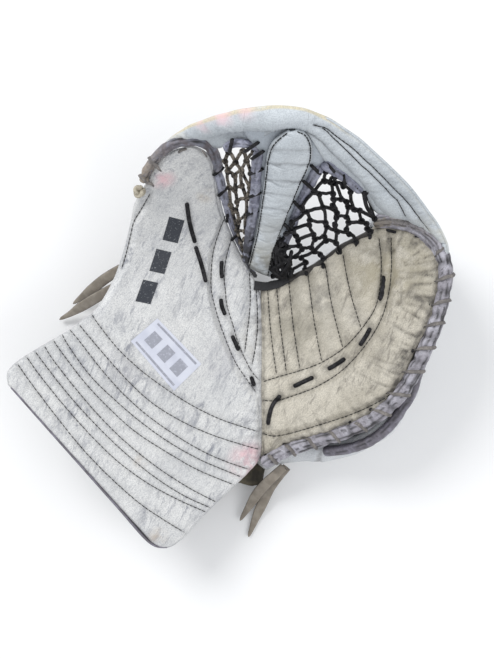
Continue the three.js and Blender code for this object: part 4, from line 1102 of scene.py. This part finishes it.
# ---------- the thumb and cuff ----------
THUMB_ALL = CUFF_SEAMS + THUMB_SEAMS
THUMB_WELT = THUMB_SEAMS[-1]


def thumb_surface(x, y):
    seam, _ = nearest(THUMB_ALL, x, y)
    welt, _ = nearest([[(a + 1.8, b - 0.8) for a, b in THUMB_WELT]], x, y)
    lace, _ = nearest(THUMB_LACES, x, y)
    plan = np.column_stack([x.ravel(), y.ravel(), 0 * x.ravel()])
    z = thumb_z(x, y) - 1.0 * hill(seam, 1.5) - 0.8 * hill(lace, 4.0) + 0.9 * hill(welt, 1.3)
    z += 0.6 * bumps(plan, 34, 1).reshape(x.shape) + 0.3 * bumps(plan, 8, 2).reshape(x.shape)
    z -= 1.4 * hill(x, 4) + 3.0 * np.clip((-34 - y) / 12, 0, 1) * hill(x, 5)
    ridge = folds(y, -x, 7, 40) * np.clip(1 + x / 30, 0, 1) * np.clip(-x / 4, 0, 1)
    z -= 0.9 * ridge
    # Seam dirt and seam shadow along the seams; painted shade around the lace dashes, in the folds and along
    # the break.
    grime_and_shade = 0.3 * hill(seam, 0.8) + 0.08 * hill(seam, 3) + 0.35 * hill(lace, 3.5)
    grime_and_shade = grime_and_shade + 0.35 * ridge + 0.45 * hill(x + 1, 2)
    return z, np.clip(grime_and_shade, 0, 1), seam < 1.5


BOARD_TURN = [
    (0.9, 0.35), (1.7, 1.1), (2.3, 2.3), (2.5, 4.0), (2.5, 7.5), (2.6, 10.5), (1.8, 12.2), (-3.5, 12.6)]
cuff = Shape().add(*skin(BOARD_LEFT, BOARD_RIGHT, 320, 200, thumb_surface, BOARD_TURN, 0.015, 14))
cuff_piece = piece(
    "thumb_and_cuff_leather", cuff, "thumb", WHITE,
    ["thumb_cuff_facing", "thumb_cuff_board"])
on_cuff = top_of(cuff.points[0], cuff.faces, thumb_z)
cuff_lining = Shape().add(*skin(
    [(x + 2, y) for x, y in BOARD_LEFT], [(x - 3, y) for x, y in BOARD_RIGHT], 110, 60,
    lining_surface(thumb_z, 12.0), [(0.6, 0.8), (0.0, 1.8)]))
piece("thumb_cuff_lining_cloth", cuff_lining, "thumb", LINING, ["thumb_cuff_lining"])
piece("thumb_and_cuff_stitching_and_seam_shadow", stitches(THUMB_ALL, on_cuff), "thumb", THREAD_AND_SEAM_SHADOW)
piece("thumb_lace_dashes", lace_dashes(THUMB_LACES, on_cuff, 1.9), "thumb", LACE_BLACK,
      ["thumb_lace_upper", "thumb_lace_lower", "thumb_seam_lace"])
CUFF_END = [(-213, 2), (-185, -33), (-156, -69), (-127, -105), (-99, -139), (-92, -143), (-84, -144)]
end_path = smooth(CUFF_END, spacing=2.0)
strip = lift(end_path, thumb_z, -6.8)
piece("cuff_edge_strip", Shape().add(*sweep(strip, flat(2.2, 12.5, 16, 4), up=(0, 0, 1), ends=2.0)), "thumb",
      ROLL_DARK, ["cuff_end_binding"])

# ---------- the thumb's tip ----------
tip_path = lift(smooth(THUMB_RIM, spacing=3.0), thumb_z, -1.0)
tip_roll = Shape().add(*binding(
    tip_path, TIP_ROLL_RADIUS, (60, 170), 24, 0.6, (7, 24), [(120, 46, 58), (70, 62, 70)], (0, 0, 1),
    tint_and_shade=lambda s: np.clip(1.2 - s * 3, 0, 1)))
piece("thumb_tip_rolled_edge", tip_roll, "thumb", ROLL_TIP, ["thumb_tip_roll"])
tip_whips = whip_loops(
    THUMB_RIM[::-1], [(-83, 177.5), (-92, 164.5)], thumb_z, TIP_ROLL_RADIUS, (-2, -4), 3.6, 8.0)
tip_whips.add(*tie([(-62, 194.5, 156), (-67, 193.5, 153), (-73, 189, 148)], 2.2))
tip_whips.add(*tie([(-50, 193.5, 155), (-48, 191, 154), (-46, 188.5, 151)], 1.6))
piece("thumb_tip_whip_lace", tip_whips, "thumb", LOOP_HIDE, ["thumb_tip_lace"])


def knot(centre, size, turns=2.2, cord_radius=2.4, seed=0.0):
    """A lace wound on itself."""
    a = np.linspace(0, turns * 2 * np.pi, int(40 * turns))
    r = size * (0.62 + 0.18 * np.cos(a * 1.5 + seed))
    path = np.array(centre) + np.column_stack([r * np.cos(a + seed), r * np.sin(a + seed),
                                               size * 0.5 * np.sin(a * 1.5 + seed)])
    return sweep(path, flat(cord_radius * 2, cord_radius * 1.5, 10, 2.4), ends=2.0)


tip_knot = Shape().add(*knot((-103, 163, 132), 4.6, 2.0, 2.3, 0.7))
piece("thumb_tip_lace_knot", tip_knot, "thumb", KNOT_HIDE, ["thumb_tip_knot"])
thumb_roll_path = lift(smooth(THUMB_NET_EDGE, spacing=2.0), thumb_z, -0.5)
# Its tint turns the lower part near black: painted shade where the net's laces wrap over the binding.
thumb_roll = Shape().add(*binding(
    thumb_roll_path, (4, 3.6, 2.6, 1.8), (90,), 18, 0.5, tint_and_shade=lambda s: np.clip(s * 2 - 0.8, 0, 1)))
piece("thumb_net_binding", thumb_roll, "thumb", ROLL_BLUE, ["thumb_net_roll"])

# ---------- the T web ----------
FRONT = np.array([0, -0.8, 0.6])  # the way the web faces


def span(p, q, columns):
    """A grid between two curves in space, the way it faces at each row, its width and its winding."""
    across = q - p
    width = np.linalg.norm(across, axis=1, keepdims=True)
    out = np.cross(across / width, along((p + q) / 2))
    out /= np.linalg.norm(out, axis=1, keepdims=True)
    winding = np.sign(out @ FRONT)[:, None]
    v = np.linspace(0, 1, columns)[None, :, None]
    return p[:, None] + across[:, None] * v, out * winding, width, float(np.sign(winding.sum()))


def thickened(front, drop, winding, grime_and_shade, tint_and_shade=None, back_columns=10):
    """A closed body from its front grid; drop is how far behind it the back lies, at each point."""
    rows, columns = front.shape[:2]
    pick = np.linspace(columns - 1, 0, back_columns).round().astype(int)
    points = np.concatenate([front, (front + drop)[:, pick]], axis=1)
    marks = [np.hstack([m, m[:, pick]]).ravel() for m in (grime_and_shade, grime_and_shade * 0 if tint_and_shade is None else tint_and_shade)]
    faces = tube_faces(rows, columns + back_columns)
    return points.reshape(-1, 3), faces if winding > 0 else [face[::-1] for face in faces], *marks


def wobble(rows, columns, along_size, across_size, seed):
    """Smooth unevenness over a grid, about -1 to 1."""
    return 1.6 * np.array([[noise.noise(Vector((i / along_size, j / across_size,
        seed))) for j in range(columns)]
                           for i in range(rows)])


stations = smooth(RIM, count=int(340 * FINE))
rim_rows, rim_columns = len(stations), 60
rim_base, rim_facing, rim_width, rim_winding = span(stations[:, :3], stations[:, 3:], rim_columns)
outer_x = stations[:, 3]
fold_at, outer_at, inner_at = (
    np.interp(outer_x, *np.array(line, float).T)[:, None] for line in (RIM_FOLD, RIM_SEAM_OUTER,
    RIM_SEAM_INNER))
outer_sewn = np.clip((outer_x - 36) / 5, 0, 1)[:, None]
inner_sewn = (np.clip((outer_x - 44) / 5, 0, 1) * np.clip((143 - outer_x) / 8, 0, 1))[:, None]
v = np.linspace(0, 1, rim_columns)[None]
w = np.clip((v - fold_at) / (1 - fold_at), 0, 1)
rim_out = np.minimum(4.0, rim_width * 0.22) * np.sqrt(np.clip(4 * w * (1 - w), 0, 1))
outer_gap, inner_gap, fold_gap = ((v - at) * rim_width for at in (outer_at, inner_at, fold_at))
rim_out -= 1.9 * hill(outer_gap, 1.7) * outer_sewn + 1.7 * hill(inner_gap, 1.7) * inner_sewn
rim_out += 0.45 * wobble(rim_rows, rim_columns, 14, 16, 4) * np.sqrt(np.clip(4 * v * (1 - v), 0, 1))
rim_front = rim_base + rim_facing[:, None] * rim_out[..., None]
rim_held = (np.abs(outer_gap) < 0.8) & (outer_sewn > 0.5) | (np.abs(inner_gap) < 0.8) & (inner_sewn > 0.5)
rim_held |= (v <= fold_at + 0.02) | border_of((rim_rows, rim_columns), 2)
rim_front = puffed(rim_front, rim_held, 40 * rim_winding, 0.03, 3.5)
rim_drop = np.zeros_like(rim_front)
rim_drop[..., 2] = -(4 + 8 * v)
# Darker along the two seams (seam dirt and seam shadow); painted shade in the fold and along the inner edge
# where the rim meets the T.
rim_dirt_and_shade = 0.35 * hill(outer_gap, 0.9) * outer_sewn + 0.35 * hill(inner_gap, 0.9) * inner_sewn
rim_dirt_and_shade = rim_dirt_and_shade + 0.55 * hill(fold_gap, 1.3) * (fold_at > 0.05) + 0.35 * hill(v, 0.05)
rim_tint = np.clip((v - 0.91) / 0.04, 0, 1) * np.clip((75 - outer_x) / 30, 0.15, 1)[:, None]
RIM_WING_BLEND = ("web", "palm", (0.032, 0, 0), (0.15, 0, 0))


def rim_part(name, first, last, body, node, blend=None):
    """One stretch of the rim, whose ends meet its neighbours'."""
    rows = slice(first, last + 1)
    shape = Shape().add(*thickened(
        rim_front[rows], rim_drop[rows], rim_winding, rim_dirt_and_shade[rows], rim_tint[rows], 14))
    piece(name, shape, body, RIM_LEATHER, [node], blend)


split_left, split_right = (int(np.argmin(np.abs(outer_x - x))) for x in RIM_SPLIT)
rim_part("rim_thumb_wing", 0, split_left, None, "rim_thumb_side",
    ("web", "thumb", (-0.012, 0, 0), (-0.08, 0, 0)))
rim_part("rim_top", split_left, split_right, "web", "rim_centre")
rim_part("rim_finger_wing", split_right, rim_rows - 1, None, "rim_finger_side", RIM_WING_BLEND)


def rim_line(share, rows):
    """A line over the rim's face, at a share of its width in each row."""
    at = share[rows, 0] * (rim_columns - 1)
    low = at.astype(int)
    part = (at - low)[:, None]
    front = rim_front[rows]
    index = np.arange(len(front))
    line = front[index, low] * (1 - part) + front[index, np.minimum(low + 1, rim_columns - 1)] * part
    return line + rim_facing[rows] * 0.25


outer_rows = np.flatnonzero(outer_x > 38)
inner_rows = np.flatnonzero((outer_x > 46) & (outer_x < 141))
rim_stitches_and_seam_shadow = stitches([rim_line(outer_at, outer_rows)[::5], rim_line(inner_at, inner_rows)[::5]], pitch=4.1)
piece("rim_stitching_and_seam_shadow", rim_stitches_and_seam_shadow, None, THREAD_AND_SEAM_SHADOW, blend=RIM_WING_BLEND)
welt = (rim_front[:, -2] + [0, 0, 0.2])[outer_x > 45]
piece("rim_piping", Shape().add(*cord(welt[::3], 0.9)), None, RIM_LEATHER,
    blend=RIM_WING_BLEND)

tee_rows, tee_columns = int(110 * FINE), 34
tee_base, tee_facing, _, tee_winding = span(
    smooth(TEE_LEFT, count=tee_rows), smooth(TEE_RIGHT, count=tee_rows), tee_columns)
v = np.linspace(0, 1, tee_columns)[None]
tee_out = 1.2 * np.sqrt(4 * v * (1 - v)) + 0.35 * wobble(tee_rows, tee_columns, 9, 12, 9)
tee_front = tee_base + tee_facing[:, None] * tee_out[..., None]
tee_drop = np.broadcast_to(-5.5 * tee_facing[:, None], tee_front.shape)
# Darker at the T's foot and along both its edges.
tee_foot_and_edge_darkening = 0.5 * hill(np.linspace(0, 1, tee_rows)[:, None], 0.1) + 0.25 * hill(v,
    0.05) + 0.25 * hill(v - 1, 0.05)
tee = Shape().add(*thickened(tee_front, tee_drop, tee_winding, tee_foot_and_edge_darkening))
piece("tee_front_panel", tee, "web", TEE_LEATHER, ["tee_panel"])

SPINE_CREASES = ((0.32, 0.6), (0.45, 0.9), (0.56, 0.7), (0.66, 1.3), (0.78, 1.3), (0.88, 0.7))
spine_rows, spine_columns = int(170 * FINE), 46
spine_base, spine_facing, _, spine_winding = span(
    smooth(SPINE_LEFT, count=spine_rows), smooth(SPINE_RIGHT, count=spine_rows), spine_columns)
u, v = np.linspace(0, 1, spine_rows)[:, None], np.linspace(0, 1, spine_columns)[None]
spine_creases = sum(depth * hill(u - at + 0.035 * (2 * v - 1) ** 2, 0.012) for at, depth in SPINE_CREASES)
spine_out = (1 - (2 * v - 1) ** 4) * (1.4 + 1.2 * u) - 0.9 * spine_creases
spine_out += 0.4 * wobble(spine_rows, spine_columns, 12, 12, 2) * (1 - (2 * v - 1) ** 2)
spine_front = spine_base + spine_facing[:, None] * (spine_out + 1.5)[..., None]
spine_front = puffed(spine_front, border_of(spine_front.shape[:2], 2), 35 * spine_winding, 0.05, 3.5)
spine_drop = np.broadcast_to(-2.5 * spine_facing[:, None], spine_front.shape)
# Painted shade in the creases; darker at the foot and along both edges.
spine_crease_shade_and_darkening = 0.3 * spine_creases + 0.5 * hill(u, 0.12) + 0.3 * hill(v, 0.06) + 0.3 * hill(v - 1, 0.06)
spine = Shape().add(*thickened(spine_front, spine_drop, spine_winding, spine_crease_shade_and_darkening))
piece("tee_spine_pad", spine, "web", RIM_LEATHER, ["spine_pad"])
spine_stitches = stitches(
    [spine_front[::7, 2] + [0, -0.4, 0.5], spine_front[::7, -3] + [0, -0.4, 0.5]], pitch=3.1, length=1.9,
    radius=0.5,
    thread_and_seam_shadow=0)
piece("spine_stitching", spine_stitches, "web", THREAD_AND_SEAM_SHADOW)


def web_roll(name, points, radius, node, body="web", blend=None, tint_and_shade=None):
    shape = Shape().add(*binding(points, radius, (90, 250), 20, 0.6, tint_and_shade=tint_and_shade))
    piece(name, shape, body, ROLL_BLUE, [node], blend)


WING_BLEND = ("web", "palm", (0.035, 0.18, 0.18), (0.1, 0.15, 0.12))
# The tint makes both side bindings of the T near black towards their lower ends.
web_roll("tee_binding_thumb_side", TEE_ROLL_LEFT, (4.2, 4.4, 4.2, 3.4), "tee_roll_thumb_side",
         tint_and_shade=lambda s: np.clip(s * 2.2 - 1.0, 0, 1))
web_roll("tee_binding_top", TOP_ROLL, 3.4, "tee_roll_top")
web_roll("tee_binding_finger_side", TEE_ROLL_RIGHT, (4.8, 4.4, 3.6, 2.8), "tee_roll_finger_side",
         tint_and_shade=lambda s: np.clip(s * 1.8 - 0.7, 0, 1))
web_roll("wing_binding", WING_ROLL, (5, 4.2, 3.6), "wing_net_roll", None, WING_BLEND)


# ---------- the nets ----------
def net_finger_z(x, y):
    return 71 - 0.2234 * (x - 21) + 1.431 * (y - 105)


def net_thumb_z(x, y):
    """The net runs straight across from the thumb's binding to the T's."""
    thumb, tee = np.array(THUMB_NET_EDGE, float)[::-1], np.array(TEE_ROLL_LEFT, float)[::-1]
    from_x, to_x = np.interp(y, thumb[:, 1], thumb[:, 0]), np.interp(y, tee[:, 1], tee[:, 0])
    share = np.clip((x - from_x) / (to_x - from_x), 0, 1)
    return thumb_z(from_x, y) * (1 - share) + np.interp(y, tee[:, 1], tee[:, 2]) * share


NET_FACING = np.array([0.1, -0.8, 0.55])


def laced_net(knots, cords, height, radius, knot_size, slack):
    """Lacing drawn from knot to knot, a little slack."""
    shape = Shape()
    spots = {k: np.array([x, y, float(height(x, y))]) for k, (x, y) in knots.items()}
    for pair in cords.split():
        a, b = (spots[k] for k in pair.split("-"))
        side = np.cross(b - a, NET_FACING)
        side /= np.linalg.norm(side)
        bend = side * slack * random.uniform(-1, 1)
        middle = (a + b) / 2 + bend + NET_FACING * random.uniform(-0.8, 0.8)
        lead = (b - a) / np.linalg.norm(b - a) * 1.6
        path = smooth([a - lead + NET_FACING * 0.5, a + (b - a) * 0.28 + bend * 0.8, middle,
                       b - (b - a) * 0.28 + bend * 0.6, b + lead - NET_FACING * 0.4], spacing=1.2)
        shape.add(*cord(path, radius * random.uniform(0.9, 1.1)))
    for spot in spots.values():
        shape.add(*knot(spot + NET_FACING * 0.6, knot_size, 1.25, radius * 0.95, random.uniform(0, 6)))
    return shape


net_right = laced_net(NET_FINGER, CORDS_FINGER, net_finger_z, 1.5, 2.2, 1.2)
foot = np.array([(5, 130, 99), (25, 130, 99), (27, 94, 64), (5, 94, 64)], float)
for k in range(16):
    ends = []
    for side in random.sample(range(4), 2):
        share = random.uniform(0.1, 0.9)
        ends.append(foot[side] * (1 - share) + foot[(side + 1) % 4] * share)
    middle = (ends[0] + ends[1]) / 2 + NET_FACING * random.uniform(-1, 3)
    net_right.add(*cord(smooth([ends[0], middle, ends[1]], spacing=1.5), 1.8))
NET_BLEND = ("web", "palm", (0.0275, 0.14, 0.113), (0.052, 0.141, 0.105))
piece("finger_side_laced_net", net_right, None, LACE_BLACK, ["net_finger_side"], NET_BLEND)
net_left = laced_net(NET_THUMB, CORDS_THUMB, net_thumb_z, 1.5, 2.1, 1.0)
piece("thumb_side_laced_net", net_left, None, LACE_WORN, ["net_thumb_side"],
      ("web", "thumb", (-0.012, 0, 0), (-0.03, 0, 0)))


def ties(pairs, width=3.0):
    """Flat laces over a binding, each from one end to the other."""
    shape = Shape()
    for a, b in pairs:
        a, b = np.array(a, float), np.array(b, float)
        shape.add(*tie([a - [0, 0, 2.5], a + [0, -0.6, 0.6], (a + b) / 2 + [0, -0.8, 2.4],
                        b + [0, -0.6, 0.4], b - [0, 0, 2.5]], width))
    return shape


tee_ties = ties([
    ((38, 179, 170), (45, 173.5, 163)), ((32.5, 168.5, 156), (42, 161.5, 147)),
    ((25.5, 154.5, 135.5), (35, 146, 124)),
    ((18, 138.5, 113.5), (25, 131.5, 105.5)), ((-25, 196, 192), (-27, 188, 184)),
    ((-5, 194, 190), (-15, 188, 184)),
    ((-1, 188, 184), (-9.5, 183.5, 178)), ((-1.5, 177, 165), (-11, 174, 160)),
    ((-3, 161, 141), (-11, 158.5, 137)),
    ((-5, 148, 121), (-13, 146, 118)), ((-9, 127, 95), (-15, 125.5, 92))])
piece("tee_net_ties", tee_ties, "web", LACE_BLACK)
thumb_ties = ties([
    ((-33.5, 183.5, 129), (-41, 178, 126)), ((-30.5, 169, 111), (-37.5, 163, 107)), ((-29.5, 153.5, 93),
    (-31, 143, 85)), ((-22, 133, 76), (-27, 128, 73))], 2.8)
piece("thumb_net_ties", thumb_ties, "thumb", LACE_BLACK)
wing_ties = ties([((50, 180.5, 171), (57, 174.5, 164)), ((64, 173.5, 160), (66, 166, 151))], 2.6)
wing_ties.add(*tie([(82, 162.5, 142), (86.5, 150.5, 129), (93.5, 143, 119.5)], 3.4, 2.6))
piece("wing_net_ties", wing_ties, None, LACE_BLACK, blend=WING_BLEND)

# ---------- the patch and the printed bars ----------
PATCH = np.array([(-92, 58), (-54, 17.5), (-78, -6), (-114.5, 38)], float)


def patch_point(u, v):
    a, b, c, d = PATCH
    u, v = np.asarray(u)[..., None], np.asarray(v)[..., None]
    return (a * (1 - u) + b * u) * (1 - v) + (d * (1 - u) + c * u) * v


def laid(plan, above):
    """A thin print or patch on the cuff, from a grid in plan."""
    z = on_cuff(plan[..., 0], plan[..., 1]) + above
    rows, columns = z.shape
    points = np.dstack([plan, z])
    area = np.cross(plan[0, -1] - plan[0, 0], plan[-1, 0] - plan[0, 0])
    return points.reshape(-1, 3), grid_faces(rows, columns, flip=area < 0)


u, v = np.meshgrid(np.linspace(0, 1, 44), np.linspace(0, 1, 28), indexing="ij")
piece("blank_patch", Shape().add(*laid(patch_point(u, v), 0.35)), "thumb", PAPER, ["blank_label"])
lines = Shape()
for first, last, low, high in ((0.06, 0.94, 0.07, 0.13), (0.06, 0.94, 0.87, 0.93), (0.12, 0.3, 0.3, 0.7),
                               (0.41, 0.59, 0.3, 0.7), (0.7, 0.88, 0.3, 0.7)):
    a, b = np.meshgrid(np.linspace(first, last, 26), np.linspace(low, high, 10), indexing="ij")
    lines.add(*laid(patch_point(a, b), 0.5))
piece("patch_lines", lines, "thumb", INK_GREY)
bars = Shape()
BAR_ALONG, BAR_ACROSS = np.array([0.33, 0.94]), np.array([0.98, -0.2])
for centre in ((-77, 134), (-89, 107.5), (-101, 81)):
    a, b = np.meshgrid(np.linspace(-10, 10, 14), np.linspace(-6.5, 6.5, 12), indexing="ij")
    bars.add(*laid(np.array(centre) + a[..., None] * BAR_ALONG + b[..., None] * BAR_ACROSS, 0.3))
piece("plain_bars", bars, "thumb", INK_BLACK)


# ---------- the padded and cloth pieces at the back ----------
def mesh_of(obj):
    """An object's evaluated points, in mm in the CAD frame, and its faces."""
    shown = obj.evaluated_get(bpy.context.evaluated_depsgraph_get())
    mesh = shown.to_mesh()
    points = np.empty(len(mesh.vertices) * 3)
    mesh.vertices.foreach_get("co", points)
    matrix = np.array(shown.matrix_world)
    points = (points.reshape(-1, 3) @ matrix[:3, :3].T + matrix[:3, 3]) / MM
    return points, [list(polygon.vertices) for polygon in mesh.polygons]


def soft_copy(node, name, voxel, pressure, cap, body, material):
    """A padded piece blown up as cloth from its CAD shape."""
    work = bpy.data.objects.new("work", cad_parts[node].data.copy())
    work.matrix_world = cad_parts[node].matrix_world
    bpy.context.scene.collection.objects.link(work)
    remesh = work.modifiers.new("Remesh", "REMESH")
    remesh.mode = "VOXEL"
    remesh.voxel_size = voxel * MM
    bpy.context.view_layer.update()
    points, faces = mesh_of(work)
    bpy.data.objects.remove(work)
    points = blown(points, faces, np.zeros(len(points), bool), pressure, 0.03, cap)
    shape = Shape().add(points, faces, 0.25 * (bumps(points, 15) > 0.3))
    obj = piece(name, shape, body, material, [node])
    obj.modifiers.new("Smooth", "SUBSURF").render_levels = 1
    obj.modifiers["Smooth"].levels = 1


soft_copy("back_hand_pad", "back_of_hand_pad", 4, 12, 2.0, "palm", SHELL)
soft_copy("wrist_pad", "wrist_protector_pad", 4, 12, 2.0, "palm", WRIST_FABRIC)
soft_copy("index_gusset", "index_side_wall", 2.5, 4, 0.8, "palm", SHELL)
soft_copy("tee_back_panel", "tee_back_leather", 2, 3, 0.5, "web", SHELL)
for number in (1, 2, 3):
    soft_copy(f"finger_separator_{number}", f"finger_stall_wall_{number}", 2, 4, 0.5, "palm",
        LINING)
soft_copy("thumb_sleeve", "thumb_stall_cloth", 2.5, 4, 0.8, "thumb", LINING)


def strap(name, route, width, thick, up, body, node):
    """A webbing strap with stitching across both its ends."""
    path = smooth(route, spacing=2.0)
    shape = Shape().add(*sweep(path, flat(width, thick, 28, 7), up=up))
    across, normal = frames(path, up)
    for i in (3, 5, len(path) - 6, len(path) - 4):
        for side in np.arange(-width / 2 + 3, width / 2 - 3, 4.0):
            for face in (-1, 1):
                start = path[i] + across[i] * side + normal[i] * face * thick / 2
                stitch = smooth([start + across[i] * reach for reach in (0, 1.4, 2.8)], 0.7)
                shape.add(*cord(stitch, 0.45, 5), 0.9)
    piece(name, shape, body, WEBBING, [node])


def at_wrist(across, level):
    slope = math.sqrt(0.5)
    return (-72 - slope * across, -58 + slope * across, level)


WRIST_UP = (math.sqrt(0.5), math.sqrt(0.5), 0.001)
strap("back_of_hand_strap", [(27, 32, 16), (42, 32, 18.5), (57, 32, 16)], 78, 2.4, (0, 0, 1), "palm",
    "hand_strap")
wrist_route = [at_wrist(*spot) for spot in
               ((50, 66), (49, 52), (39, 29), (15, 21), (-15, 21), (-35, 26), (-43, 37), (-44, 45))]
strap("wrist_band", wrist_route, 2.4, 38, WRIST_UP, "thumb", "wrist_strap")
strap("wrist_band_end", [at_wrist(61, 59), at_wrist(58, 40), at_wrist(55, 20)], 2.2, 34, WRIST_UP,
    "wrist_tab",
      "wrist_strap_tab")
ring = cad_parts["wrist_ring"]
ring.data.materials.clear()
ring.data.materials.append(PLASTIC)

# ---------- the floor and the light, in metres ----------
FLOOR_REACH = 3
FLOOR_LEVEL = -0.0005  # just under the glove, so that no faces coincide
LIT_SPOT = (0, 0.05, 0.05)  # where the lights are aimed

floor_mesh = bpy.data.meshes.new("floor")
corners = [(-1, -1), (1, -1), (1, 1), (-1, 1)]
floor_mesh.from_pydata([(x * FLOOR_REACH, y * FLOOR_REACH, FLOOR_LEVEL) for x, y in corners], [],
    [(0, 1, 2, 3)])
FLOOR_LOOK = Look("floor", 0.9)
floor_color = FLOOR_LOOK.mix(FLOOR_LOOK.noise(400), (0.86, 0.86, 0.86), (0.88, 0.88, 0.88))
floor_mesh.materials.append(FLOOR_LOOK.done(floor_color))
floor = bpy.data.objects.new("floor", floor_mesh)
bpy.context.scene.collection.objects.link(floor)
floor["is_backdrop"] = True


def area_light(name, place, size, power):
    light = bpy.data.lights.new(name, "AREA")
    light.shape = "DISK"
    light.size = size
    light.energy = power
    obj = bpy.data.objects.new(name, light)
    obj.location = place
    obj.rotation_euler = (Vector(LIT_SPOT) - Vector(place)).to_track_quat("-Z", "Y").to_euler()
    bpy.context.scene.collection.objects.link(obj)


area_light("key", (-0.9, 1.0, 1.5), 0.9, 22)
area_light("fill", (1.1, -0.6, 1.4), 1.4, 9)
world = bpy.data.worlds.new("studio")
world.use_nodes = True
world.node_tree.nodes["Background"].inputs["Color"].default_value = (0.95, 0.97, 1.0, 1)
world.node_tree.nodes["Background"].inputs["Strength"].default_value = 0.75
bpy.context.scene.world = world
bpy.context.scene.view_settings.view_transform = "Standard"

low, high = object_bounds()
{"cad": [list(cad_low), list(cad_high)], "visual": [list(low), list(high)]}
